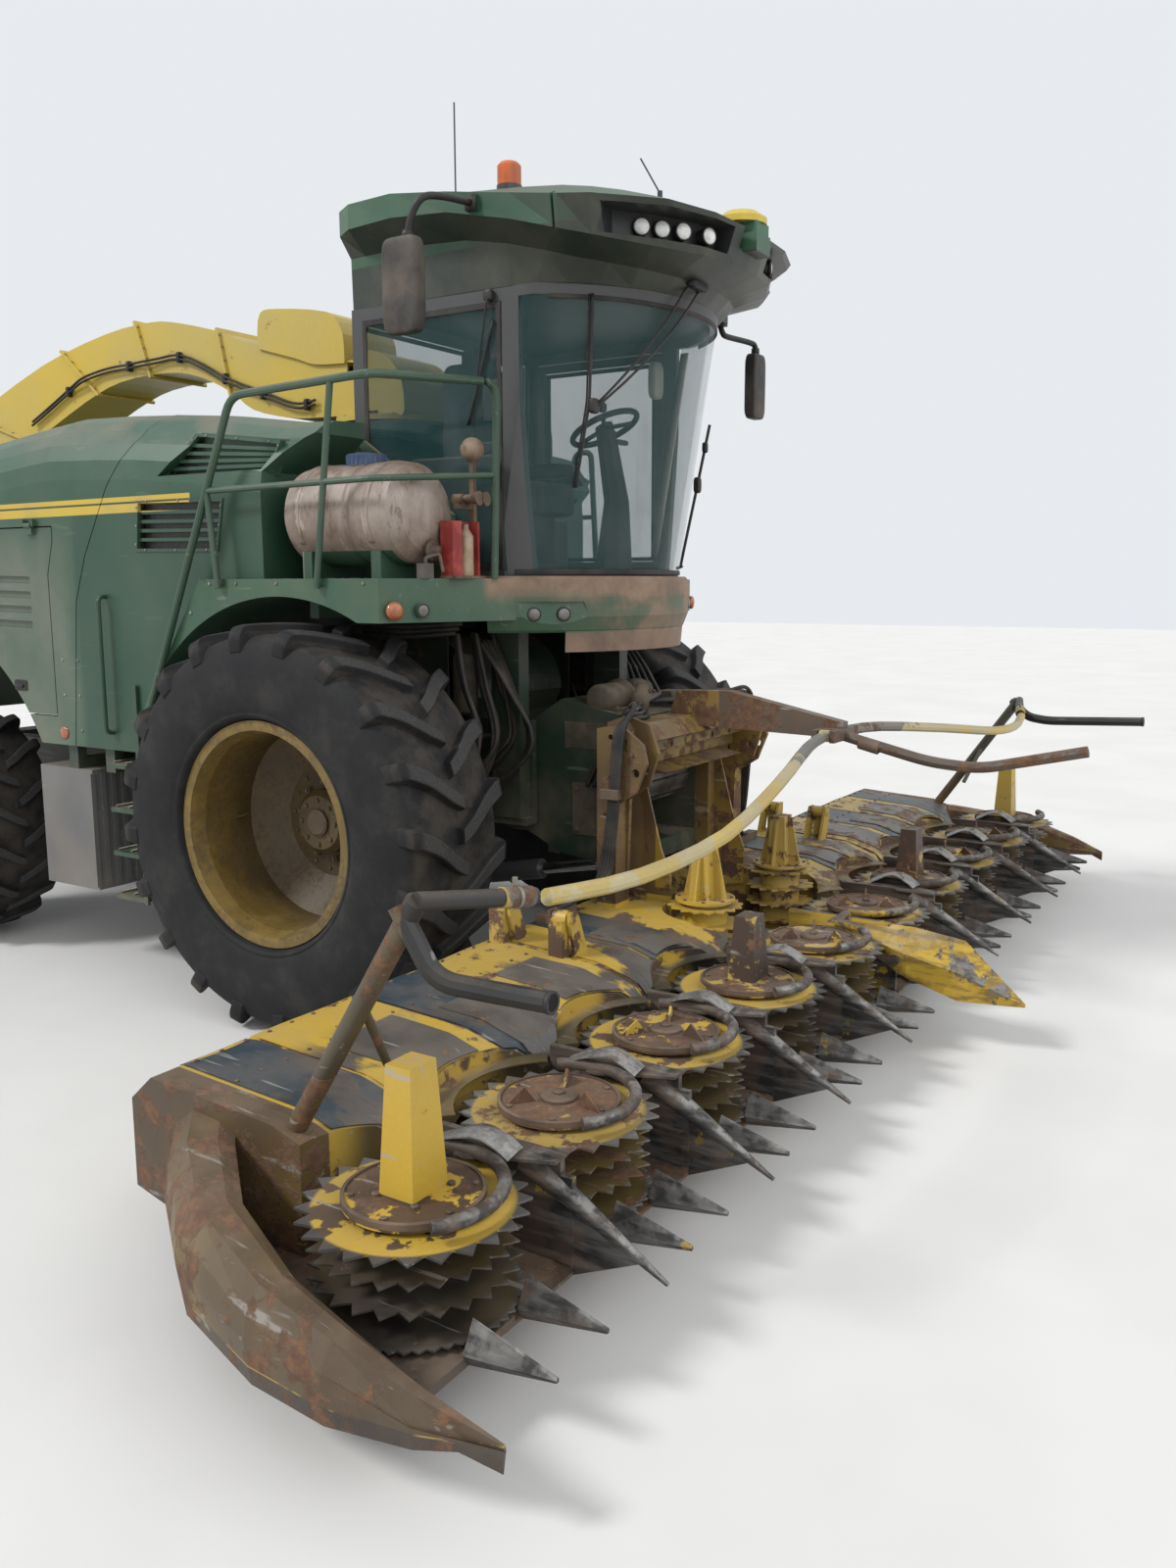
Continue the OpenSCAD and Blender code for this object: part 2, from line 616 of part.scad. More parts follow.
// The corners moved outwards by d
function grille_edge(g, d) = let (c = (g[1] + g[2] + g[3] + g[4]) / 4)
  [for (i = [1 : 4]) g[i] + d * [sign(g[i][0] - c[0]), sign(g[i][1] - c[1])]];

module hood() color(green) {
  difference() {
    body_form(-80, 1800, 0, skirt_z);
    difference() {
      body_form(-200, 1900, body_wall, skirt_z - 50);
      side(-2000, 2000) polygon([[150, 1000], [190, 1000], [190, 2790], [-40, 2975], [-40, 3400],
        [-80, 3400],
        [-80, 2975], [150, 2790]]);
    }
    // Cut along the seam, and in front over the tank and the cab
    side(-2000, 2000) polygon(concat([for (p = seam) p - [panel_gap, 0]], [[2500, 1200], [2500,
      3400]]));
    side(-2000, 2000) polygon([[-300, 1000], [150, 1000], [150, 2790], [-80, 2975], [-300, 2975]]);
    block([-cab_half - 150, -300, 2000], [cab_half + 150, 150, 4000]);
    block([0, -300, 2000], [2000, 64, 4000]);
    // Over the wheel and the platform
    pin_x([0, 0, front_z], front_arch_r + 30, 4000);
    block([-2000, -200, 0], [2000, 560, deck_z + seat]);
    // Turret's opening
    translate([0, spout_y, 2900]) cylinder(h = 500, r = turret_r + 48, $fn = 64);
    for (g = grilles) side(-2000, 2000) polygon(grille_edge(g, 0));
  }
  for (g = grilles) {
    // Raised frame, slats, and a sheet behind them
    both() difference() {
      side(grille_x(g) - 30, grille_x(g) + 8) polygon(grille_edge(g, 16));
      side(grille_x(g) - 60, grille_x(g) + 60) polygon(grille_edge(g, 0));
    }
    both() for (i = [1 : slats - 1]) let (t = i / slats, a = (1 - t) * g[1] + t * g[2], b = (1 - t)
      * g[4] + t * g[3])
      side(grille_x(g) - 44, grille_x(g) - 8) polygon([a + [20, -9], b + [-20, -9], b + [-20, 9],
        a + [20, 9]]);
    both() side(grille_x(g) - 60, grille_x(g) - 42) polygon(grille_edge(g, 24));
  }
  // Grab handle beside the steps
  both() bar(bend([[body_half, 1380, 1430], [body_half + 50, 1380, 1430],
    [body_half + 50, 1380, 2180], [body_half, 1380, 2180]], 40), 13, 8, [0, 1, 0.1]);
}

module rear_arch(r) both() translate([0, wheelbase, rear_z]) rotate([0, 90, 0])
  translate([0, 0, 400]) cylinder(h = 2000, r = r, $fn = 96);

// Side panel's outline in side view; g widens it for the opening it closes
module panel_outline(g) {
  difference() {
    polygon([[1880 - g, 1500 - g], [1880 - g, 2300], [1820 - g, 2490], [1820 - g,
      panel_hinge_z - 12 + g],
      [4080 + g, panel_hinge_z - 12 + g], [4080 + g, 1500 - g]]);
    if (g == 0) translate([wheelbase, rear_z]) circle(r = rear_arch_r, $fn = 96);
  }
}
panel_hinges = [2000, 2940, 3880];

module rear_body() color(green) {
  difference() {
    body_form(1000, 4350, 0, skirt_z);
    body_form(900, 4310, body_wall, skirt_z - 50);
    side(-2000, 2000) polygon(concat(flip(seam), [[-100, 3300], [-100, 1200]]));
    rear_arch(rear_arch_r);
    both() side(panel_x - 100, body_half + 100) panel_outline(panel_gap);
  }
  // Hinge pins of the side panels
  both() for (y = panel_hinges) {
    translate([body_half + 20, y - 50, panel_hinge_z]) rotate([-90, 0, 0]) cylinder(h = 100, r = 7,
      $fn = 24);
    for (d = [-50, 35]) block([body_half - 10, y + d, panel_hinge_z], [body_half + 27, y + d + 15,
      panel_hinge_z + 35]);
  }
}

module side_panel(s) color(green) mirror([s > 0 ? 0 : 1, 0, 0]) {
  difference() {
    union() {
      side(panel_x + 2, body_half) panel_outline(0);
      for (y = panel_hinges) {
        translate([body_half + 20, y - 30, panel_hinge_z]) rotate([-90, 0, 0]) cylinder(h = 60,
          r = 14, $fn = 32);
        block([body_half - 10, y - 30, panel_hinge_z - 50], [body_half + 22, y + 30,
          panel_hinge_z - 11]);
      }
    }
    for (y = panel_hinges) translate([body_half + 20, y - 60, panel_hinge_z]) rotate([-90, 0, 0])
      cylinder(h = 120, r = 7 + fit, $fn = 24);
    // Louvres
    for (i = [0 : 3]) side(body_half - 20, body_half + 1)
      polygon([for (p = [[0, 0], [420, 10], [420, 50], [0, 40]]) p + [2050, 2250 - i * 85]]);
  }
}

// A point on the nose's curve, a degrees to the left of straight ahead
function nose(r, a) = nose_c + r * [sin(a), -cos(a)];
// The left platform's outline from above
deck_outline = [[cab_half + 12, -760], nose(nose_r - 20, 56), nose(nose_r - 4, 52), [deck_half,
  deck_y], [deck_half, 500],
  [cab_half + 12, 500]];

module platforms() color(green) {
  both() {
    // Deck with its front edge
    translate([0, 0, deck_z - 45]) linear_extrude(height = 45) polygon(deck_outline);
    translate([0, 0, 2065]) linear_extrude(height = 200) polygon([nose(nose_r - 4, 52),
      nose(nose_r - 30, 53),
      [deck_half - 26, deck_y + 8], [deck_half, deck_y]]);
    // Side skirt round the wheel
    difference() {
      side(deck_half - 20, deck_half) polygon([[deck_y, deck_z - 45], [deck_y, 2065], [-300, 2065],
        [300, 1700],
        [900, 1500], [1040, 1480], [1040, 1560], [545, deck_z], [500, deck_z - 20]]);
      pin_x([deck_half, 0, front_z], front_arch_r, 200);
      block([0, 600, 1000], [2000, 2000, 1545]);
    }
    difference() {
      pin_x([(deck_half + 1000) / 2, 0, front_z], front_arch_r + 14, deck_half - 1000);
      pin_x([(deck_half + 1000) / 2, 0, front_z], front_arch_r, deck_half - 990);
      block([0, -2000, -500], [2000, 2000, 1545]);
      block([0, -2000, -500], [2000, -400, 3000]);
      block([0, 1040, -500], [2000, 2000, 3000]);
    }
    for (y = [-660, 60]) block([cab_half + seat, y, 2070], [1200, y + 60, deck_z - 45]);
    // Lamps in the front edge
    for (x = [1335, 1475]) translate([x, lookup(x, [[860, -915], [1545, -650]]) + 8, 2120])
      rotate([90, 0, 21.3])
      cylinder(h = 24, r = 36, $fn = 32);
  }
  // Nose round the cab's front, with its lamp recesses and the flap under it
  difference() {
    translate([0, nose_c[1], 0]) rotate_extrude(angle = 120, start = 210, $fn = 96)
      polygon([[nose_in, 2282],
      [nose_r - 20, 2282], [nose_r - 3, 2262], [nose_r + 4, 2180], [nose_r - 4, 2080],
        [nose_r - 30, 2012],
      [nose_in, 2000]]);
    both() rotate([0, 0, 41]) translate([nose_c[1] * sin(41), nose_c[1] * cos(41), 0]) rotate([90,
      0, 0])
      translate([0, 0, nose_r - 18]) linear_extrude(height = 60)
        polygon([[-150, 2155], [190, 2155], [190, 2035], [-205, 2035]]);
  }
  both() for (a = [38.5, 47]) rotate([0, 0, a]) translate([nose_c[1] * sin(a), nose_c[1] * cos(a),
    2093])
    rotate([90, 0, 0]) translate([0, 0, nose_r - 35]) cylinder(h = 24, r = 34, $fn = 32);
  translate([0, nose_c[1], 0]) rotate_extrude(angle = 75, start = 232.5, $fn = 96) polygon([[1003,
    2010], [1012, 2010],
    [1002, 1900], [994, 1900]]);
  // Panel beside the cab on the right, and the columns between the cab and the hood
  side(-cab_half - 42, -cab_half - 14) polygon([[140, deck_z - 20], [140, 2985], [30, 2985], [-550,
    2590],
    [-545, deck_z - 20]]);
  both() block([cab_half + 14, 60, deck_z - 20], [cab_half + 140, 140, 2960]);
}

module handrails() color(dark_green) {
  x = deck_half + rail_r + 6;
  foot = deck_z - 30;
  // Right side, from the step up, along the deck and round its front corner
  mirror([1, 0, 0]) {
    bar(bend([[x, 950, 1580], [x, 230, hand_z - 20], [x, deck_y - 10, hand_z + 10], [950, -900,
      hand_z + 30],
      [940, -865, deck_z + seat]], 80), rail_r, 10, [1, 0.3, 0.02]);
    bar(bend([[x, 440, 2700], [x, deck_y, 2715], [945, -880, 2760]], 80), rail_r * 0.8);
    bar([[x, -420, hand_z], [x, -290, foot - 15]], rail_r * 0.8, 10, [1, 0, 0.05]);
    bar([[x, 430, 2700], [x, 380, foot - 15]], rail_r * 0.8, 10, [1, 0, 0.05]);
    for (y = [-310, 360]) block([deck_half + seat, y, foot], [x, y + 40, foot + 25]);
  }
  // Left side, open beside the door
  bar(bend([[x, 950, 1580], [x, 330, 2900], [x, 260, hand_z - 20], [x, 140, hand_z - 20], [x, 90,
    foot - 15]], 50), rail_r,
    10, [1, 0.02, 0.01]);
  bar([[x, 430, 2700], [x, 130, 2700]], rail_r * 0.8);
  block([deck_half + seat, 72, foot], [x, 112, foot + 25]);
  // Feet of the lower runs on the skirts
  both() block([deck_half + seat, 915, 1580], [x, 955, 1610]);
}

module water_tank() {
  color("#b9a98c") translate([-1240, -720, 2575]) rotate([-90, 0, 0]) rotate_extrude($fn = 64)
    polygon([[0, 0], [90, 0], [180, 25], [232, 80], [245, 150], [245, 300], [238, 310], [238, 330],
      [245, 340], [245, 520], [245, 650], [232, 720], [180, 775], [90, 800], [0, 800]]);
  color("#2c4a66") translate([-1240, -330, 2805]) cylinder(h = 55, r = 95, $fn = 48);
  color(dark_green) for (y = [-560, -120])
    block([-1420, y, deck_z + seat], [-1060, y + 60, 2400]);
}

module platform_fittings() {
  z = deck_z + 12 + seat;
  color(rust) {
    block([-1200, -834, deck_z + seat], [-936, -734, z]);
    // Red holder with a dusty bottle in it, on the front edge
    block([-1190, -808, z - 1], [-1118, -734, 2540]);
    block([-1118, -760, 2528], [-985, -734, 2540]);
    block([-1000, -812, z - 1], [-985, -734, 2540]);
    translate([-1057, -784, z - 1]) cylinder(h = 190, r = 36, $fn = 40);
    translate([-1057, -784, z + 188]) cylinder(h = 34, r1 = 36, r2 = 15, $fn = 40);
    translate([-1057, -784, z + 221]) cylinder(h = 24, r = 14, $fn = 24);
    // Post with the horns and a ball on top
    block([-968, -766, z - 1], [-944, -742, 2842]);
    block([-1090, -762, 2600], [-944, -740, 2626]);
    translate([-956, -754, 2886]) sphere(r = 58, $fn = 40);
    for (x = [-1075, -1018]) translate([x, -732, 2646]) rotate([90, 0, 4]) {
      cylinder(h = 50, r = 24, $fn = 32);
      translate([0, 0, 45]) cylinder(h = 100, r1 = 11, r2 = 34, $fn = 32);
    }
  }
  // Valve with its pipe under the tank's front
  color(steel) {
    block([-1330, -748, deck_z + seat], [-1262, -700, 2340]);
    bar(bend([[-1296, -726, 2330], [-1296, -726, 2365], [-1240, -765, 2385], [-1215, -765, z +
      20]], 14), 9, 8);
  }
}

module access_steps() {
  color(dark_green) both() {
    for (z = [480 : 250 : 1300]) block([1180, 1180, z], [1500, 1420, z + 25]);
    for (x = [1180, 1485]) block([x, 1150, 470], [x + 15, 1180, 1700]);
    block([rail_x + rail_w / 2 + seat, 1150, 1120], [1500, 1180, 1170]);
  }
  // Ribbed boxes behind the steps
  color(grey) both() {
    block([1000, 1650, 480], [1440, 2130, box_top]);
    for (x = [1010 : 70 : 1430]) block([x, 1640, 500], [x + 30, 1652, 1170]);
    block([545 + seat, 1700, 900], [1000, 1900, 1000]);
  }
}

// Spout

// Edges of the spout in side view, from the turret to its mouth
spout_top = smooth([[720, 3530], [960, 3545], [1120, 3595], [1490, 3700], [1790, 3815], [2150,
  3905], [2430, 3940],
  [2900, 3910], [3600, 3770], [4470, 3480], [4880, 3340]], 3);
spout_under = smooth([[720, 3232], [960, 3235], [1200, 3250], [1510, 3320], [1700, 3440], [1990,
  3560], [2300, 3610],
  [2760, 3590], [3140, 3490], [3780, 3260], [4470, 3130], [4880, 3080]], 3);

module spout_turret() color(yellow) {
  elbow = smooth([[265, 3230], [285, 3400], [380, 3525], [500, 3575], [590, 3582]], 3);
  difference() {
    union() {
      translate([0, spout_y, turret_z - 240]) cylinder(h = 260, r = turret_r, $fn = 64);
      translate([0, spout_y, turret_z]) cylinder(h = 30, r = turret_r + 45, $fn = 64);
      side(-spout_half - 30, spout_half + 30) polygon(concat(elbow,
        [[610, 3470], [740, 3455], [770, 3380], [790, turret_z + 20], [280, turret_z + 20]]));
      block([spout_half + 30, spout_ram_foot[1] - 40, spout_ram_foot[2] - 30],
        [spout_ram_x - 34, spout_ram_foot[1] + 40, spout_ram_foot[2] + 60]);
    }
    translate([0, spout_y, turret_z - 300]) cylinder(h = 360, r = turret_r - 40, $fn = 64);
    side(-spout_half - 14, spout_half + 14) polygon([[330, 3225], [345, 3385], [425, 3500], [510, 3553],
      [600, 3567], [1000, 3567], [1000, 3225]]);
  }
  both() pin_x([spout_half + 8, arm_hinge[1], arm_hinge[2]], 28, 40);
  pin_x([spout_ram_x - 5, spout_ram_foot[1], spout_ram_foot[2]], 14, 70);
}

// Flanges that stiffen the spout, as the index of the edge points they join
spout_ribs = [12, 19, 23, 27];
module spout_arm() color(yellow) {
  difference() {
    union() {
      side(-spout_half, spout_half) polygon(concat(spout_top, flip(spout_under)));
      for (i = spout_ribs) side(-spout_half - 22, spout_half + 22) let (a = spout_top[i],
        b = spout_under[i],
        d = unit([a[1] - b[1], b[0] - a[0]]), u = unit(a - b))
        polygon([a + 22 * u - 9 * d, a + 22 * u + 9 * d, b - 22 * u + 9 * d, b - 22 * u - 9 * d]);
      block([spout_half, spout_ram_eye[1] - 40, spout_ram_eye[2] - 30],
        [spout_ram_x - 24, spout_ram_eye[1] + 40, spout_ram_eye[2] + 80]);
      pin_x([spout_ram_x - 2, spout_ram_eye[1], spout_ram_eye[2]], 14, 64);
      both() pin_x([spout_half + 8, flap_hinge[1], flap_hinge[2]], 12, 40);
    }
    side(-spout_half + spout_wall, spout_half - spout_wall) polygon(concat(
      [for (p = spout_top) p - [0, spout_wall]], [[4950, 3310], [4950, 3095]],
      [for (p = flip(spout_under)) p + [0, spout_wall]], [[640, 3246], [640, 3516]]));
    both() pin_x([spout_half, arm_hinge[1], arm_hinge[2]], 28 + fit, 80);
  }
  // Curved sheet that keeps the elbow closed at every height, and the eyes round the hinge pins
  side(-spout_half, spout_half) polygon(concat(arc([arm_hinge[1], arm_hinge[2]], 158, 82, 130, 10),
    arc([arm_hinge[1], arm_hinge[2]], 146, 130, 82, 10)));
  both() difference() {
    pin_x([spout_half - spout_wall / 2, arm_hinge[1], arm_hinge[2]], 60, spout_wall);
    pin_x([spout_half, arm_hinge[1], arm_hinge[2]], 28 + fit, 80);
  }
  // Sensor housing over the base
  side(-spout_half - 20, spout_half + 20) difference() {
    polygon(concat(smooth([[722, 3525], [722, 3620], [745, 3730], [860, 3830], [1260, 3890], [1400,
      3880], [1430, 3760]], 3),
      [[1430, 3600], [800, 3400]]));
    polygon([for (p = concat(spout_top, [[5000, 3000], [700, 3000]])) p - [0, 5]]);
  }
}

module spout_flap() color(yellow) difference() {
  union() {
    side(-spout_half - 14, spout_half + 14) polygon([[4895, 3400], [5000, 3380], [5160, 3290],
      [5150, 3276],
      [4995, 3364], [4895, 3384]]);
    both() side(spout_half + 4, spout_half + 14) polygon([[4810, 3260], [4810, 3330], [4900, 3395],
      [5000, 3375],
      [5155, 3285], [4990, 3270], [4870, 3255]]);
  }
  both() pin_x([spout_half, flap_hinge[1], flap_hinge[2]], 12 + fit, 80);
}

spout_ram_dir = unit(spout_ram_eye - spout_ram_foot);
module spout_ram_barrel() color(black) translate([spout_ram_x, 0, 0]) difference() {
  union() {
    rod(spout_ram_foot + 20 * spout_ram_dir, spout_ram_foot + 400 * spout_ram_dir, 28);
    pin_x(spout_ram_foot, 26, 30);
  }
  pin_x(spout_ram_foot, 14 + fit, 60);
  rod(spout_ram_foot + 60 * spout_ram_dir, spout_ram_foot + 460 * spout_ram_dir, 15 + fit);
}
module spout_ram_rod() color(steel) translate([spout_ram_x, 0, 0]) difference() {
  union() {
    rod(spout_ram_foot + 100 * spout_ram_dir, spout_ram_eye - 24 * spout_ram_dir, 15);
    pin_x(spout_ram_eye, 30, 36);
  }
  pin_x(spout_ram_eye, 20, 60);
}

// Feeding and lifting

module feed_housing() color(dark_green) {
  difference() {
    union() {
      side(-400, 400) polygon(concat([[-1320, 760], [-1320, 1560]], [[-900, 1640]],
        arc([-lift_y, lift_z], 300, 100, -100), [[-900, 800]]));
      both() pin_x([430, -lift_y, lift_z], lift_pin_r, 90);
    }
    block([-340, -1400, 860], [340, -700, 1420]);
  }
  both() {
    block([400, ram_eye[1] - 60, ram_eye[2] - 50], [ram_x - 30, ram_eye[1] + 60, ram_eye[2] + 60]);
    pin_x([ram_x - 5, ram_eye[1], ram_eye[2]], 22, 90);
  }
}

ram_dir = unit(ram_eye - ram_foot);
module lift_barrels() color(black) both() difference() {
  union() {
    rod([ram_x, 0, 0] + ram_foot + 80 * ram_dir, [ram_x, 0, 0] + ram_foot + 560 * ram_dir, ram_r);
    rod([ram_x, 0, 0] + ram_foot + 30 * ram_dir, [ram_x, 0, 0] + ram_foot + 90 * ram_dir, 20);
    pin_x([ram_x, 0, 0] + ram_foot, 45, 44);
  }
  pin_x([ram_x, 0, 0] + ram_foot, 25 + fit, 60);
  rod([ram_x, 0, 0] + ram_foot + 120 * ram_dir, [ram_x, 0, 0] + ram_foot + 600 * ram_dir,
    ram_rod_r + fit);
}
module lift_rods() color(steel) both() difference() {
  union() {
    rod([ram_x, 0, 0] + ram_foot + 170 * ram_dir, [ram_x, 0, 0] + ram_eye - 36 * ram_dir, ram_rod_r);
    pin_x([ram_x, 0, 0] + ram_eye, 48, 44);
  }
  pin_x([ram_x, 0, 0] + ram_eye, 30, 60);
}

// Header

// Cuts room for the rotors out of a deck, from x0 to x1 in rotor steps
module rotor_room(i0, i1) for (i = [i0 : i1])
  translate([(i + 0.5) * rotor_pitch, -rotor_y, floor_z + 30]) cylinder(h = 900, r = rotor_r + 84,
    $fn = 64);

// Side view of the deck: floor, front wall and sloping rear plate
module deck_profile() polygon([[-1150, 300], [-1150, 560], [-1250, deck_top], [-1800, deck_top - 30],
  [-1990, deck_top - 90], [-2060, 480], [-2060, floor_z + 30], [-2560, floor_z + 30], [-2640,
    floor_z + 12],
  [-2640, floor_z], [-1400, floor_z], [-1150, 250]]);

// Stacked sheets that follow the back of a rotor
module scrapers() for (z = [300, 370, 440, 530])
  translate([0, 0, z]) rotate_extrude(angle = 100, start = 40, $fn = 64) polygon([[rotor_r + 14,
    0], [rotor_r + 90, 0],
    [rotor_r + 90, 7], [rotor_r + 14, 5]]);

// Floor and deck between two planes, with a post for each rotor between
module deck_run(x0, x1, i0, i1) {
  difference() {
    side(x0, x1) deck_profile();
    rotor_room(i0 - 1, i1 + 1);
  }
  for (i = [i0 : i1]) translate([(i + 0.5) * rotor_pitch, -rotor_y, 0]) {
    scrapers();
    translate([0, 0, floor_z]) cylinder(h = 40, r = 170, $fn = 48);
    translate([0, 0, floor_z]) cylinder(h = 320, r = 40, $fn = 40);
  }
}

// Divider between rotors k and k + 1 counted from the middle: web, plate, guard ring and spike
module divider(k, dx = 0) {
  x = k * rotor_pitch + dx;
  block([x - 12, -2640 - seat, floor_z + 30 + seat], [x + 12, -2560, 500]);
  block([x - 12, -2600, floor_z + 30 + seat], [x + 12, -2060 - seat, rotor_z + 56]);
  translate([x, 0, rotor_z + 46]) linear_extrude(height = 10)
    polygon([[-30, -2600], [40, -2600], [90, -2470], [150, -2340], [110, -2200], [40, -2230], [-30,
      -2400]]);
  translate([(k + 0.5) * rotor_pitch, -rotor_y, rotor_z + 62])
    rotate_extrude(angle = 165, start = 145, $fn = 64) translate([ring_r, 0])
      circle(r = ring_tube_r, $fn = 20);
  translate([x, -2470, rotor_z + 22]) rotate([90, 0, 0]) translate([0, 0, 0])
    rotate([atan2(rotor_z + 22 - 256, tip_y - 2470), 0, 0])
    cylinder(h = norm([rotor_z + 22 - 256, tip_y - 2470]), r1 = 46, r2 = 7, $fn = 32);
  side(x - 6, x + 6) polygon([[-2600, 440], [-2880, 300], [-2640 - seat, floor_z], [-2640 - seat,
    300]]);
}

// A short flat point with a ridge, on the floor's front edge
module point(x) skin([
  [for (p = [[-20, floor_z], [20, floor_z], [48, 232], [0, 318], [-48, 232]]) [x + p[0],
    -2640 - seat, p[1]]],
  [for (p = [[-5, 226], [5, 226], [7, 234], [0, 244], [-7, 234]]) [x + p[0], 50 - tip_y, p[1]]]
]);

// Outer end of the header: a curved wall that narrows to a steel point
outer_path = [[3290, -1400], [3500, -1600], [3710, -1880], [3835, -2240], [3862, -2500], [3845,
  -2740], [3800, -tip_y]];
outer_size = [[100, 600, 220], [100, 565, 215], [90, 525, 210], [72, 470, 205], [62, 420, 205],
  [38, 345, 215],
  [8, 262, 245]];
module outer_divider() skin([
  for (i = [0 : len(outer_path) - 1])
    let (p = outer_path[i], z = outer_size[i], t = tangent(outer_path, i), n = [t[1], -t[0]])
      [for (q = [[0.9, z[2]], [1.15, (z[1] + z[2]) / 2], [1, z[1] - 70], [0.4, z[1]], [-0.5, z[1]],
        [-1, z[1] - 25], [-1, z[2]]]) [p[0] + n[0] * q[0] * -z[0], p[1] + n[1] * q[0] * -z[0], q[1]]]
]);

// A plate across the machine between two heights, tapering to its top
module side_plate(x0, x1, y0, y1, z0, z1) translate([0, y1, 0]) rotate([90, 0, 0])
  linear_extrude(height = y1 - y0) polygon([[x0, z0], [x1 - 36, z0], [x1 - 36, deck_top + 20], [x1,
    z1 - 60], [x1, z1],
    [x1 - 60, z1]]);
fold_ys = [-1300, -1620];

module header_frame() {
  color(yellow) {
    difference() {
      deck_run(-fold_x + 4, fold_x - 4, -2, 1);
      // Room for the feed drums and the way into the feed housing
      both() translate([drum_x, -drum_y, floor_z + 60]) cylinder(h = 900, r = drum_r + 25, $fn = 64);
      block([-drum_x, -2300, floor_z + 60], [drum_x, -1330, 900]);
      block([-340, -1400, floor_z + 60], [340, -1100, 1300]);
    }
    both() block([350, -1400, 300], [430, -1320 - seat, 1330]);
    side(-600, 600) polygon([[-1400, 1290], [-1330, 1290], [-1330, 1340], [-1400, 1340]]);
    side(-440, 440) polygon([[-1560, 1300], [-1548, 1292], [-1330, 1290], [-1330, 1305], [-1400,
      1330]]);
    both() difference() {
      side(430, 444) polygon([[-1330, 500], [-1330, 1320], [-1420, 1320], [-1530, 900], [-1640,
        640], [-1640, 560]]);
      translate([drum_x, -drum_y, 0]) cylinder(h = 3000, r = drum_r + 25, $fn = 64);
    }
    both() translate([drum_x, -drum_y, floor_z]) cylinder(h = 480, r = 35, $fn = 40);
    // Hinge pins of the wings
    both() for (y = fold_ys) {
      translate([fold_x, y - 60, fold_z]) rotate([-90, 0, 0]) cylinder(h = 120, r = 20, $fn = 32);
      for (d = [-60, 42]) side_plate(fold_x - 130, fold_x + 30, y + d, y + d + 18, deck_top - 60,
        fold_z + 34);
    }
  }
  color(rust) {
    both() difference() {
      union() {
        side(600, 625) polygon([[-1320 - seat, 600], [-1320 - seat, 1560], [-1430, 1600], [-1560,
          1560], [-1610, 1420],
          [-1560, 1260], [-1450, 1180], [-1430, 600]]);
        side(700, 725) polygon([[-1320 - seat, 600], [-1320 - seat, 1540], [-1460, 1560], [-1580,
          1470], [-1600, 1380],
          [-1540, 1230], [-1430, 1160], [-1430, 600]]);
        side(600, 725) polygon([[-1320 - seat, 600], [-1320 - seat, 1500], [-1350, 1500], [-1350,
          600]]);
        side(600, 725) polygon([[-1430, 600], [-1430, 1180], [-1400, 1180], [-1400, 600]]);
      }
      for (p = [[-1480, 1460, 34], [-1540, 1330, 22], [-1400, 1500, 14], [-1400, 1300, 14]])
        pin_x([660, p[0], p[1]], p[2], 200);
    }
    block([-700, -1480, 1400], [700, -1320 - seat, 1540]);
    block([-700, -1430, 1330], [700, -1330, 1400]);
    side(-600, 600) polygon([[-1340, 1540], [-1480, 1540], [-1560, 1470], [-1575, 1478], [-1486,
      1556], [-1340, 1556]]);
    // Push bar, its arm and the junction of the guard bars
    side(-40, 40) polygon([[-1350, 1530], [-1400, 1680], [-1700, 1690], [-2330, 1560], [-2330,
      1480], [-1480, 1500]]);
    bar(bend([[0, -2200, 1520], [0, -2760, 1390], [0, -3000, 1375], [0, -3480, 1490]], 90), bar_r);
    difference() {
      block([-170, bar_hinge[1] - 60, 1470], [170, bar_hinge[1] + 60, 1530]);
      both() block([95, bar_hinge[1] - 34, 1400], [200, bar_hinge[1] + 34, 1600]);
    }
    both() translate([bar_hinge[0], bar_hinge[1] - 60, bar_hinge[2]]) rotate([-90, 0, 0])
      cylinder(h = 120, r = 14, $fn = 32);
  }
}

module header_points() color(steel) {
  both() {
    divider(1);
    for (x = [1, 2, 4, 5]) point(x * rotor_pitch / 3);
    translate([rotor_pitch / 2, -rotor_y, rotor_z + 62])
      rotate_extrude(angle = 130, start = 180, $fn = 64) translate([ring_r, 0])
        circle(r = ring_tube_r, $fn = 20);
    block([12, -2360, rotor_z + 46], [140, -2320, rotor_z + 66]);
  }
  // Wide middle divider
  block([-12, -2640 - seat, floor_z + 30 + seat], [12, -2560, 500]);
  block([-12, -2600, floor_z + 30 + seat], [12, -2060 - seat, rotor_z + 66]);
  skin([
    for (r = [[-2480, 60, 560, 430], [-2720, 110, 560, 330], [-2975, 95, 530, 250], [-3270, 6, 262,
      245]])
      [[r[1], r[0], r[3]], [r[1], r[0], (r[2] + r[3]) / 2], [0, r[0], r[2]],
        [-r[1], r[0], (r[2] + r[3]) / 2], [-r[1], r[0], r[3]]]
  ]);
}

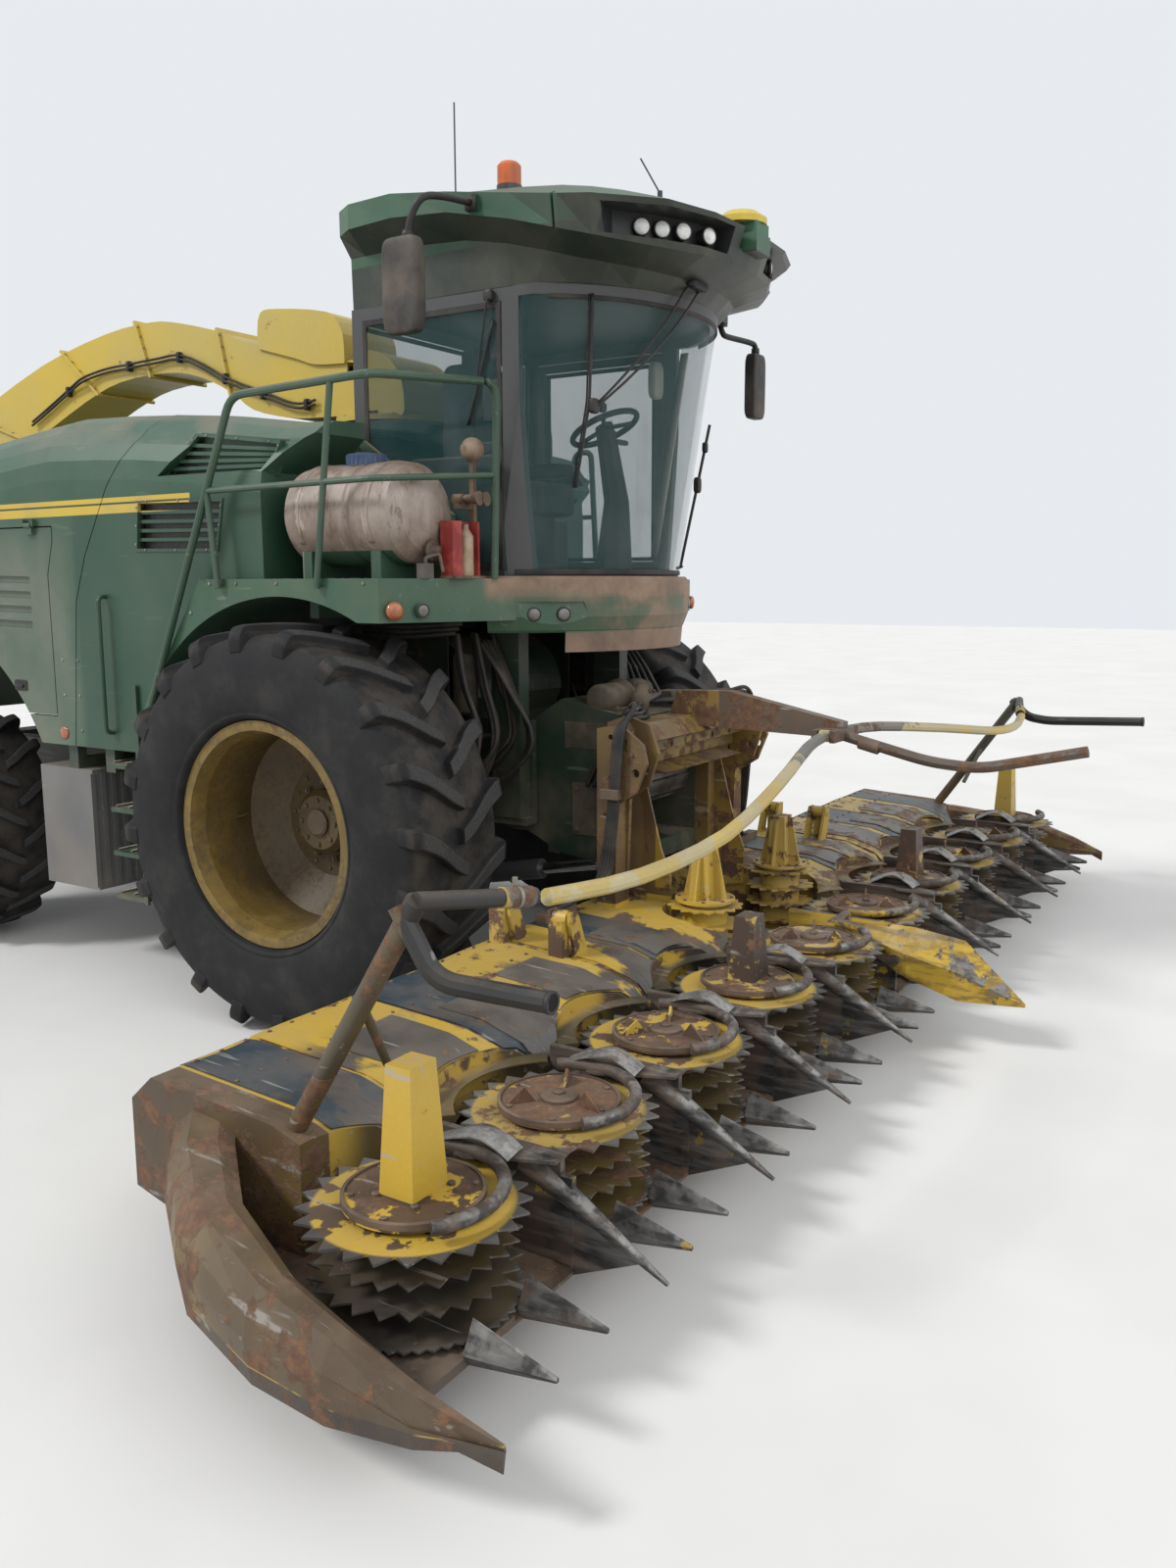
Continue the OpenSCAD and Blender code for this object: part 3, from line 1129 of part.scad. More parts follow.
module wing(s) mirror([s > 0 ? 0 : 1, 0, 0]) {
  color(yellow) deck_run(fold_x + 4, 5 * rotor_pitch - 440, 2, 3);
  color(yellow) difference() {
    side(5 * rotor_pitch - 440, 5 * rotor_pitch - 350) deck_profile();
    rotor_room(4, 4);
  }
  color(yellow) difference() {
    translate([0, 0, floor_z]) linear_extrude(height = 30)
      polygon([[3310, -1200], [3420, -1450], [3640, -1750], [3790, -2200], [3800, -2640], [3310,
        -2640]]);
  }
  color(yellow) translate([4.5 * rotor_pitch, -rotor_y, floor_z]) {
    cylinder(h = 40, r = 170, $fn = 48);
    cylinder(h = 320, r = 40, $fn = 40);
  }
  color(rust) outer_divider();
  color(yellow) difference() {
    for (y = fold_ys) {
      translate([fold_x, y - 36, fold_z]) rotate([-90, 0, 0]) cylinder(h = 72, r = 36, $fn = 40);
      block([fold_x + 4, y - 36, deck_top - 50], [fold_x + 60, y + 36, fold_z]);
    }
    for (y = fold_ys) translate([fold_x, y - 60, fold_z]) rotate([-90, 0, 0]) cylinder(h = 120,
      r = 20 + fit, $fn = 32);
  }
  // Post of the guard bar, its tube and end pipe
  color(rust) {
    rod([3330, -1740, 440], [3390, -2390, 1400], 32);
    block([3260, -1800, 430], [3400, -1690, 560]);
    rod([3370, -2160, 1060], [3180, -2080, 800], 14);
  }
  color(black) {
    bar(bend(s > 0 ? [[3400, -2350, 1395], [3330, -2470, 1290], [3300, -2620, 1272], [3300, -3250,
      1300]]
      : [[3400, -2330, 1380], [3380, -2440, 1180], [3300, -2600, 1150], [3290, -2760, 1150]], 60),
        bar_r + 4);
    rod([3400, -2395, 1400], [2990, -2500, 1340], bar_r);
  }
}

module wing_points(s) mirror([s > 0 ? 0 : 1, 0, 0]) color(steel) {
  divider(2, 16);
  divider(3);
  divider(4);
  for (x = [7, 8, 10, 11, 13, 14]) point(x * rotor_pitch / 3);
}

module guard_bar(s) mirror([s > 0 ? 0 : 1, 0, 0]) color(yellow) difference() {
  union() {
    translate([bar_hinge[0], bar_hinge[1] - 28, bar_hinge[2]]) rotate([-90, 0, 0])
      cylinder(h = 56, r = 30, $fn = 40);
    bar(smooth([[140, -2280, 1500], [500, -2340, 1490], [1200, -2490, 1420], [1900, -2590, 1340],
      [2500, -2580, 1310],
      [2950, -2515, 1330]], 3), bar_r);
  }
  translate([bar_hinge[0], bar_hinge[1] - 60, bar_hinge[2]]) rotate([-90, 0, 0])
    cylinder(h = 120, r = 14 + fit, $fn = 32);
}

// A flat disc with pointed teeth
module toothed(z, h, root, tip, n) translate([0, 0, z]) linear_extrude(height = h) polygon([
  for (i = [0 : n - 1]) each [
    root * [cos(360 * i / n), sin(360 * i / n)], tip * [cos(360 * (i + 0.45) / n), sin(360 * (i +
      0.45) / n)]]]);

// A tapered four-sided tower
module tower(z0, z1, a, b) skin([for (r = [[z0, a], [z1, b]])
  [for (p = [[-1, -0.8], [1, -0.8], [1, 0.8], [-1, 0.8]]) [p[0] * r[1], p[1] * r[1], r[0]]]]);

module feed_drum(s) translate([s * drum_x, -drum_y, 0]) color(yellow) difference() {
  union() {
    for (i = [0 : 4]) toothed(290 + 90 * i, 10, drum_r - 32, drum_r, 16);
    translate([0, 0, 262]) cylinder(h = 418, r = 110, $fn = 48);
    translate([0, 0, 680]) cylinder(h = 14, r = 150, $fn = 48);
    tower(690, 960, 70, 52);
    for (a = [0 : 90 : 270]) rotate([0, 0, a]) rotate([90, 0, 0]) translate([0, 0, -5])
      linear_extrude(height = 10)
      polygon([[30, 690], [120, 690], [64, 950], [30, 950]]);
  }
  translate([0, 0, 200]) cylinder(h = 475, r = 35 + fit, $fn = 40);
}

// Rotors numbered from the machine's right; the tall ones carry a tower of the given height
tower_top = [[1, 930], [4, 830], [7, 830], [10, 930]];
module rotor(n) {
  top = rotor_z + 45;
  found = [for (t = tower_top) if (t[0] == n) t[1]];
  translate([(n - 5.5) * rotor_pitch, -rotor_y, 0]) color(yellow) difference() {
    union() {
      // Knife disc, gathering discs and the cover
      toothed(238, 6, rotor_r - 40, rotor_r - 24, rotor_teeth * 2);
      for (z = [330, 415]) toothed(z, 6, rotor_r - 72, rotor_r - 30, rotor_teeth);
      toothed(rotor_z, 8, rotor_r - 48, rotor_r, rotor_teeth);
      translate([0, 0, 236]) cylinder(h = top - 256, r = 150, $fn = 48);
      translate([0, 0, top - 22]) cylinder(h = 22, r = rotor_cover_r, $fn = 64);
      if (len(found) > 0) tower(top - 1, found[0], 78, 56);
      else for (a = [20, 140, 260]) rotate([0, 0, a]) rotate([90, 0, 0]) translate([0, 0, -5])
        linear_extrude(height = 10) polygon([[80, top - 1], [185, top - 1], [120, top + 55]]);
    }
    translate([0, 0, 200]) cylinder(h = 314, r = 40 + fit, $fn = 40);
  }
}

// The parts, set about the middle of the machine's length

module place() translate([0, shift_y, 0]) children();

place() chassis_frame();
place() rear_axle();
place() engine_block();
place() crop_housing();
place() platforms();
place() hood();
place() rear_body();
place() cab_frame();
place() cab_glass();
place() cab_roof();
place() cab_interior();
place() mirrors();
place() roof_fittings();
place() handrails();
place() water_tank();
place() platform_fittings();
place() access_steps();
place() front_rim(-1);  // rim_front_right
place() front_rim(1);  // rim_front_left
place() front_tyre(-1);  // tyre_front_right
place() front_tyre(1);  // tyre_front_left
place() knuckle(-1);  // knuckle_right
place() knuckle(1);  // knuckle_left
place() rear_rim(-1);  // rim_rear_right
place() rear_rim(1);  // rim_rear_left
place() rear_tyre(-1);  // tyre_rear_right
place() rear_tyre(1);  // tyre_rear_left
place() cab_door();
place() door_glass();
place() side_panel(-1);  // side_panel_right
place() side_panel(1);  // side_panel_left
place() spout_turret();
place() spout_arm();
place() spout_flap();
place() spout_ram_barrel();
place() spout_ram_rod();
place() feed_housing();
place() lift_barrels();
place() lift_rods();
place() header_frame();
place() header_points();
place() wing(-1);  // wing_right
place() wing(1);  // wing_left
place() wing_points(-1);  // wing_points_right
place() wing_points(1);  // wing_points_left
place() guard_bar(-1);  // guard_bar_right
place() guard_bar(1);  // guard_bar_left
place() feed_drum(-1);  // feed_drum_right
place() feed_drum(1);  // feed_drum_left
place() rotor(1);  // rotor_1
place() rotor(2);  // rotor_2
place() rotor(3);  // rotor_3
place() rotor(4);  // rotor_4
place() rotor(5);  // rotor_5
place() rotor(6);  // rotor_6
place() rotor(7);  // rotor_7
place() rotor(8);  // rotor_8
place() rotor(9);  // rotor_9
place() rotor(10);  // rotor_10
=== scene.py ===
"""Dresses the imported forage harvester: finishes for its parts, and the small pieces the frame leaves out."""

import math

import bmesh
import bpy
import numpy as np
from mathutils import Matrix, Vector


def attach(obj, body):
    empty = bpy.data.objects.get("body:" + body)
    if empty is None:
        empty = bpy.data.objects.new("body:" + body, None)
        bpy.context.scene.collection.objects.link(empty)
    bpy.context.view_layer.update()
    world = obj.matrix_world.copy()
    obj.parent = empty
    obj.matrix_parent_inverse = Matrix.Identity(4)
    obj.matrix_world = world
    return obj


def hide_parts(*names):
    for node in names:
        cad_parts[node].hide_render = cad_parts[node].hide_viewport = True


bl_info = {
    "name": "Forage harvester dressing",
    "version": (1, 0, 0),
    "blender": (4, 5, 0),
    "location": "3D View > Sidebar > Harvester",
    "description": "Finishes and small pieces for a forage harvester with a rotary maize header",
    "category": "Object",
}

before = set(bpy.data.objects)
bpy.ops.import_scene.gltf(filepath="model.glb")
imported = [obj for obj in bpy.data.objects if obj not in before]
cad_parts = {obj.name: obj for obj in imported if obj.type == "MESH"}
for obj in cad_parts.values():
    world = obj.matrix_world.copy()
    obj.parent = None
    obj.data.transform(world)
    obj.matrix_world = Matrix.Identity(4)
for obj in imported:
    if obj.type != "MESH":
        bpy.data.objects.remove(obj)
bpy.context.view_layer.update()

# The row's origin lies this far behind the front axle, in metres
AXLE_Y = -0.836
# The header's rotors: how many, how far apart, and where their axes stand
ROTORS = 10
PITCH = 0.75
ROTOR_Y = -2.34
SIDES = (("right", -1), ("left", 1))
# Edges sharper than this stay sharp on a smooth piece
SHARP = math.radians(32)
# Height of a tyre's lugs over its crown
LUG = 0.053
# How deep a bolt's head is sunk, so that no gap shows under it
SINK = 0.004
# The windscreen: a cylinder's radius, the lean of its axis, and that axis's place at 3 m up
SCREEN_RADIUS, SCREEN_LEAN, SCREEN_Y = 0.975, math.radians(9.5), -0.385
# The water tank's axis and radius, its cap, and its two bands
TANK_X, TANK_Z, TANK_RADIUS = -1.240, 2.575, 0.2465
CAP_Y, BANDS_Y = -0.330, (-0.530, -0.090)
# The header's deck: its section as places along the machine and heights, the radius of the scallops
# round the rotors, and how far ahead a sheet may reach
DECK = ((-2.06, -1.99, -1.80, -1.25, -1.15), (0.48, 0.56, 0.62, 0.65, 0.56))
SCALLOP, DECK_FRONT = 0.428, -2.052
# Height of the rotors' covers, and the rotors that carry a tower
COVER_TOP = 0.5448
TOWERS = (1, 4, 7, 10)
# Work lamps of the roof's left side: x, y, and their turn from the left to straight ahead
ROOF_LAMPS = ((0.650, -1.512, 40.0), (0.562, -1.568, 48.0), (0.478, -1.634, 52.0), (0.345, -1.696, 66.0))
# Turns of the nose's two lamps on its round front, and the way that the platforms' lamps face
NOSE_LAMPS, PLATFORM_LAMP = (38.5, 47.0), (0.3633, -0.9317, 0.0)


# Meshes: each shape is a pair of arrays, its points and its faces. Shapes and finishes are laid out
# in metres from the front axle, as the machine's drawings are: y = 0 is the axle's plane.

def grid(points, around=False, ends=False, loop=False):
    """Faces over a grid of points, (rows, columns, 3). around joins the last column to the first,
    loop joins the last row to the first, and ends closes the first and the last row with a face."""
    rows, cols = points.shape[:2]
    r, c = np.meshgrid(np.arange(rows if loop else rows - 1), np.arange(cols if around else cols - 1),
                       indexing="ij")
    m, n = (r + 1) % rows, (c + 1) % cols
    quads = np.stack([r * cols + c, r * cols + n, m * cols + n, m * cols + c], -1).reshape(-1, 4)
    faces = quads.tolist()
    if ends:
        faces.append(list(range(cols - 1, -1, -1)))
        faces.append(list(range((rows - 1) * cols, rows * cols)))
    return points.reshape(-1, 3), faces


def smooth(points, steps=6):
    """A Catmull-Rom curve through the points: each span is the cubic with the neighbours' slopes."""
    p = np.asarray(points, float)
    p = np.vstack([2 * p[0] - p[1], p, 2 * p[-1] - p[-2]])
    t = np.linspace(0, 1, steps, endpoint=False)[:, None, None]
    a, b, c, d = p[:-3], p[1:-2], p[2:-1], p[3:]
    curve = 0.5 * (2 * b + (c - a) * t + (2 * a - 5 * b + 4 * c - d) * t ** 2
                   + (3 * b - a - 3 * c + d) * t ** 3)
    return np.vstack([curve.transpose(1, 0, 2).reshape(-1, p.shape[1]), p[-2]])


def tube(path, radius, sides=10):
    """A circle carried along a path. Its two directions at each point are the cross products of the
    path's slope with a fixed leaning axis."""
    p = np.asarray(path, float)
    t = np.gradient(p, axis=0)
    t /= np.linalg.norm(t, axis=1)[:, None]
    lean = np.array([0.17, 0.31, 0.93]) if abs(t[:, 2]).mean() < 0.7 else np.array([0.93, 0.31, 0.17])
    s = np.cross(t, lean)
    s /= np.linalg.norm(s, axis=1)[:, None]
    w = np.cross(t, s)
    a = np.linspace(0, 2 * np.pi, sides, endpoint=False)
    r = np.broadcast_to(np.asarray(radius, float), (len(p),))[:, None, None]
    ring = p[:, None] + r * (np.cos(a)[None, :, None] * s[:, None] + np.sin(a)[None, :, None] * w[:, None])
    return grid(ring, True, True)


def axes(direction):
    """Two unit vectors square to a direction and to each other."""
    d = np.asarray(direction, float)
    d = d / np.linalg.norm(d)
    side = np.cross(d, [0.0, 0.0, 1.0] if abs(d[2]) < 0.9 else [1.0, 0.0, 0.0])
    side /= np.linalg.norm(side)
    return d, side, np.cross(d, side)


def turned(profile, centre, direction, sides=32):
    """A profile of (radius, height) pairs turned about an axis through centre."""
    d, s, w = axes(direction)
    q = np.asarray(profile, float)
    a = np.linspace(0, 2 * np.pi, sides, endpoint=False)
    radial = np.cos(a)[:, None] * s + np.sin(a)[:, None] * w
    points = np.asarray(centre, float) + q[:, None, 1:] * d + np.maximum(q[:, None, :1], 1e-4) * radial
    return grid(points[::-1], True, True)


def hoop(section, centre, direction, sides=32):
    """A closed section of (radius, height) pairs turned about an axis through centre into a ring."""
    d, s, w = axes(direction)
    q = np.asarray(section, float)
    a = np.linspace(0, 2 * np.pi, sides, endpoint=False)
    radial = np.cos(a)[:, None] * s + np.sin(a)[:, None] * w
    return grid(np.asarray(centre, float) + q[:, None, 1:] * d + q[:, None, :1] * radial, True, False, True)


def swept(path, section, lean=(0.0, 0.0, 1.0), loop=False):
    """A section of (across, up) pairs carried along a path. Across is the cross product of the path's
    slope with lean, and up is the cross product of across with the slope."""
    p = np.asarray(path, float)
    t = np.roll(p, -1, 0) - np.roll(p, 1, 0) if loop else np.gradient(p, axis=0)
    t /= np.linalg.norm(t, axis=1)[:, None]
    s = np.cross(t, lean)
    s /= np.linalg.norm(s, axis=1)[:, None]
    w = np.cross(s, t)
    q = np.asarray(section, float)
    points = p[:, None] + q[None, :, :1] * s[:, None] + q[None, :, 1:] * w[:, None]
    return grid(points, True, not loop, loop)


def strip(path, width, height, lean=(0.0, 0.0, 1.0), loop=False):
    """A flat strip along a path, its middle on the path and its underside at the path's height."""
    a = width / 2
    return swept(path, [(-a, 0), (a, 0), (a * 0.9, height), (-a * 0.9, height)], lean, loop)


def pillow(centre, half, power=0.35, rows=25, cols=48, pull=0.0):
    """A rounded cushion: a superellipsoid, each direction's sine and cosine raised to a power below 1,
    whose sides pull in between the corners by pull times the product of the other two."""
    u = np.linspace(-np.pi / 2, np.pi / 2, rows)[:, None]
    v = np.linspace(0, 2 * np.pi, cols, endpoint=False)[None, :]

    def bent(value):
        return np.sign(value) * np.abs(value) ** power

    x = bent(np.cos(u)) * bent(np.cos(v))
    y = bent(np.cos(u)) * bent(np.sin(v))
    z = bent(np.sin(u)) * np.ones_like(v)
    squeeze = 1.0 - pull * (1.0 - x * x * y * y)
    points = np.stack([x * squeeze * half[0], y * squeeze * half[1], z * half[2]], -1) + np.asarray(centre)
    return grid(points, True, True)


def border(outline, width, low, high, place):
    """A flat frame: an outline that runs anticlockwise, and the same outline moved inwards by width, from
    low to high. Each corner moves along the sum of its two edges' normals. place turns (u, v, w) into x, y, z
    and adds an origin."""
    o = np.asarray(outline, float)
    a, b = o - np.roll(o, 1, 0), np.roll(o, -1, 0) - o
    a, b = (np.column_stack([-e[:, 1], e[:, 0]]) / np.linalg.norm(e, axis=1)[:, None] for e in (a, b))
    inner = o + (a + b) / (1 + (a * b).sum(1))[:, None] * width
    rows = [(o, low), (o, high), (inner, high), (inner, low)]
    points = np.stack([np.column_stack([e, np.full(len(o), w)]) for e, w in rows], 1)
    return grid(points @ np.asarray(place, float)[:3] + np.asarray(place, float)[3], True, False, True)


def on_screen(x, z, out=0.0):
    """Points on the windscreen. Its cylinder's axis leans forward with height, and the glass stands
    ahead of the axis by the leg of the triangle that x leaves of the radius."""
    x, z = np.broadcast_arrays(np.asarray(x, float), np.asarray(z, float))
    leg = np.sqrt((SCREEN_RADIUS + out) ** 2 - x * x)
    y = SCREEN_Y - (z - 3.0) * math.tan(SCREEN_LEAN) - leg / math.cos(SCREEN_LEAN)
    return np.stack([x, y, z], -1)


def deck_height(y):
    """Top of the header's deck at a distance along the machine."""
    return np.interp(y, *DECK)


def deck_sheet(x0, x1, back, lift, curl):
    """A worn sheet on the deck between two planes, from back to the scallops round the rotors. Its front
    edge follows a circle round the nearest rotor's axis, and shallow sine dents and a curl that grows
    with the eighth power of the way forward leave it uneven."""
    x = np.linspace(x0, x1, 30)[:, None]
    t = np.linspace(0, 1, 16)[None, :]
    near = x / PITCH - np.floor(x / PITCH) - 0.5
    front = np.maximum(ROTOR_Y + np.sqrt(SCALLOP ** 2 - (near * PITCH) ** 2), DECK_FRONT)
    y = back + (front - back) * t
    dents = 0.0022 * np.sin(11.0 * x + 2.0) * np.sin(9.0 * y) + curl * t ** 8 * (0.5 + 0.5 * np.sin(14.0 * x))
    z = deck_height(y) + lift + dents
    return grid(np.stack([np.broadcast_to(x, z.shape), y, z], -1))


def block(low, high):
    """A box between two corners, as two square rows."""
    a, b = np.asarray(low, float), np.asarray(high, float)
    ring = np.array([[a[0], a[1]], [b[0], a[1]], [b[0], b[1]], [a[0], b[1]]])
    rows = np.stack([np.column_stack([ring, np.full(4, z)]) for z in (a[2], b[2])])
    return grid(rows, True, True)


def tyre(centre, radius, width, seat, count):
    """A tractor tyre. Its section is a smooth curve from the bead over wall and shoulder to the crown,
    turned about the axle. A lug is a section carried from the crown's middle over the shoulder: each row
    runs from a base point in the carcass to a top point, and the lug's angle about the axle grows with
    the way out, so that it leans back. The lugs of the two halves alternate."""
    crown = radius - LUG
    rise = crown - seat
    wall = [(seat + 0.038, 0.402), (seat + 0.11 * rise, 0.455), (seat + 0.15 * rise, 0.472),
            (seat + 0.17 * rise, 0.468), (seat + 0.26 * rise, 0.487), (seat + 0.48 * rise, 0.499),
            (seat + 0.70 * rise, 0.488), (seat + 0.86 * rise, 0.463), (crown - 0.05 * rise, 0.43),
            (crown - 0.003, 0.37), (crown + 0.004, 0.18), (crown + 0.005, 0.0)]
    half = np.vstack([[(seat + 0.001, 0.400)], smooth(wall, 4)]) * [1.0, width]
    shapes = [hoop(np.vstack([half, half[-2::-1] * [1, -1]]), centre, (1, 0, 0), 144)]
    rows = smooth([(-0.02, radius - 0.004, -0.02, crown - 0.006, 0.050, 0.034),
                   (0.10, radius, 0.10, crown - 0.006, 0.098, 0.038),
                   (0.25, radius, 0.25, crown - 0.008, 0.178, 0.041),
                   (0.38, radius - 0.002, 0.37, crown - 0.014, 0.224, 0.043),
                   (0.445, radius - 0.012, 0.415, crown - 0.030, 0.240, 0.044),
                   (0.471, radius - 0.034, 0.430, crown - 0.055, 0.246, 0.044),
                   (0.485, radius - 0.075, 0.450, radius - 0.105, 0.252, 0.043),
                   (0.480, radius - 0.130, 0.462, radius - 0.140, 0.258, 0.040)], 2)
    section = np.array([(-1.30, 0.0), (-1.04, 0.70), (-0.93, 0.94), (-0.80, 1.0), (0.80, 1.0), (0.93, 0.94),
                        (1.04, 0.70), (1.30, 0.0)])
    top, base = rows[:, None, 0:2], rows[:, None, 2:4]
    place = base + section[None, :, 1:] * (top - base)
    back = rows[:, 4:5] + section[None, :, 0] * rows[:, 5:6]
    for side in (-1, 1):
        for i in range(count):
            turn = 2 * np.pi * (i + (side + 1) / 4) / count - back
            points = np.stack([-side * place[..., 0] * width, place[..., 1] * np.sin(turn),
                               -place[..., 1] * np.cos(turn)], -1)
            shapes.append(grid(points + np.asarray(centre, float), True, True))
    return shapes


def bolts(centres, direction, radius, height, sides=6):
    """Bolt heads on a surface, six-sided unless asked, all facing one direction."""
    return [turned([(radius, -SINK), (radius, height * 0.8), (radius * 0.8, height)], c, direction, sides)
            for c in centres]


def flipped(shape):
    """The same shape on the machine's other side."""
    points, faces = shape
    return points * [-1, 1, 1], [f[::-1] for f in faces]


def both(shapes):
    """The shapes, and the same on the machine's other side."""
    return shapes + [flipped(shape) for shape in shapes]


def mirrored(shapes, sign):
    """The shapes as they are for the left side, where sign is 1, and flipped for the right side."""
    return shapes if sign > 0 else [flipped(shape) for shape in shapes]


def circle(centre, radius, count, start=0.0, axis=0):
    """Points at even angles round an axis (0 for x, 2 for z) through centre, the first at start degrees."""
    a = np.radians(np.arange(count) * 360.0 / count + start)
    across = [np.cos(a), np.sin(a)]
    across.insert(axis, 0 * a)
    return np.asarray(centre, float) + np.asarray(radius) * np.stack(across, -1)


def piece(name, body, finish, shapes, soft=False, bevel=0.0):
    """One object from several shapes, with outward normals, that rides on a body. Here the shapes
    move from the front axle's frame to the row's. The finish is a material or a name in the tables."""
    finish = stock(finish) if isinstance(finish, str) else finish
    verts, faces, start = [], [], 0
    for points, polys in shapes:
        verts.append(points + np.array([0.0, AXLE_Y, 0.0]))
        faces += [[i + start for i in f] for f in polys]
        start += len(points)
    mesh = bpy.data.meshes.new(name)
    mesh.from_pydata(np.vstack(verts).tolist(), [], faces)
    made = bpy.data.objects.new(name, mesh)
    bpy.context.scene.collection.objects.link(made)
    work = bmesh.new()
    work.from_mesh(mesh)
    bmesh.ops.recalc_face_normals(work, faces=work.faces)
    work.to_mesh(mesh)
    work.free()
    mesh.materials.append(finish)
    if soft:
        mesh.shade_smooth()
    if bevel:
        edge = made.modifiers.new("Edges", "BEVEL")
        edge.width = bevel
        edge.segments = 2
        edge.limit_method = "ANGLE"
    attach(made, body)
    return made


# Shader maths: an expression on values adds its nodes

class Value:
    """A number that varies over a surface. Arithmetic on it adds Math nodes to its tree."""

    def __init__(self, finish, socket):
        self.finish, self.socket = finish, socket

    def maths(self, operation, *others):
        node = self.finish.node("ShaderNodeMath", {"operation": operation}, dict(enumerate((self,) + others)))
        return Value(self.finish, node.outputs[0])

    def __add__(self, other):
        return self.maths("ADD", other)

    def __mul__(self, other):
        return self.maths("MULTIPLY", other)

    def __sub__(self, other):
        return self.maths("SUBTRACT", other)

    def __rsub__(self, other):
        return (self * -1.0) + other

    __radd__, __rmul__ = __add__, __mul__

    def size(self):
        return self.maths("ABSOLUTE")

    def clamp(self):
        node = self.finish.node("ShaderNodeClamp", {}, {0: self})
        return Value(self.finish, node.outputs[0])

    def ramp(self, low, high):
        """0 below low, 1 above high, and a smooth step between; low above high turns it round."""
        node = self.finish.node("ShaderNodeMapRange", {"interpolation_type": "SMOOTHSTEP"},
                                {0: self, 1: min(low, high), 2: max(low, high)})
        value = Value(self.finish, node.outputs[0])
        return value if low < high else 1.0 - value


def add_node(tree, kind, settings=None, values=None):
    """One node of a tree: its settings first, then the values or links of its sockets."""
    made = tree.nodes.new(kind)
    for key, value in (settings or {}).items():
        setattr(made, key, value)
    for key, value in (values or {}).items():
        value = value.socket if isinstance(value, Value) else value
        if isinstance(value, bpy.types.NodeSocket):
            tree.links.new(value, made.inputs[key])
        else:
            made.inputs[key].default_value = value
    return made


class Finish:
    """A material under construction."""

    def __init__(self, name):
        self.material = bpy.data.materials.new(name)
        self.material.use_nodes = True
        self.tree = self.material.node_tree
        self.tree.nodes.clear()
        place = self.node("ShaderNodeTexCoord")
        self.place = place.outputs["Object"]
        parts = self.node("ShaderNodeSeparateXYZ", {}, {0: self.place})
        self.x, self.y, self.z = (Value(self, parts.outputs[i]) for i in range(3))
        self.y = self.y - AXLE_Y
        turn = self.node("ShaderNodeSeparateXYZ", {}, {0: place.outputs["Normal"]})
        self.up = Value(self, turn.outputs[2])

    def node(self, kind, settings=None, values=None):
        return add_node(self.tree, kind, settings, values)

    def noise(self, scale, detail=4.0, roughness=0.6, stretch=None):
        """Cloudy noise from 0 to 1, stretched along the axes if asked."""
        place = self.place
        if stretch:
            place = self.node("ShaderNodeMapping", {}, {0: place, 3: stretch}).outputs[0]
        made = self.node("ShaderNodeTexNoise", {}, {"Vector": place, "Scale": scale, "Detail": detail,
                                                    "Roughness": roughness})
        return Value(self, made.outputs[0])

    def inside(self, low, high, soft=0.002):
        """1 inside a box and 0 outside; None leaves a side open."""
        mask = None
        for value, a, b in zip((self.x, self.y, self.z), low, high):
            for edge, sign in ((a, 1), (b, -1)):
                if edge is None:
                    continue
                part = value.ramp(edge - sign * soft, edge + sign * soft)
                mask = part if mask is None else mask * part
        return mask

    def mix(self, a, b, mask):
        """Colour a where the mask is 0 and b where it is 1. Either is a socket or three numbers."""
        a, b = (c if isinstance(c, bpy.types.NodeSocket) else (*c, 1.0) for c in (a, b))
        made = self.node("ShaderNodeMix", {"data_type": "RGBA"}, {0: mask, 6: a, 7: b})
        return made.outputs[2]

    def tint(self, colour, value):
        """A colour made lighter or darker by a value near 1."""
        made = self.node("ShaderNodeVectorMath", {"operation": "SCALE"}, {0: colour, 3: value})
        return made.outputs[0]

    def done(self, colour, roughness, bump=None, strength=0.3, distance=0.01, metallic=0.0, alpha=None,
             **fixed):
        values = {"Base Color": colour, "Roughness": roughness, "Metallic": metallic}
        if alpha is not None:
            values["Alpha"] = alpha
        values.update(fixed)
        if bump is not None:
            values["Normal"] = self.node("ShaderNodeBump", {}, {"Strength": strength, "Distance": distance,
                                                               "Height": bump}).outputs[0]
        shader = self.node("ShaderNodeBsdfPrincipled", {}, values)
        self.node("ShaderNodeOutputMaterial", {}, {0: shader.outputs[0]})
        return self.material


RUST_DARK = (0.075, 0.036, 0.020)
RUST_LIGHT = (0.150, 0.074, 0.034)
DUST = (0.235, 0.175, 0.125)
BARE_STEEL = (0.30, 0.285, 0.26)


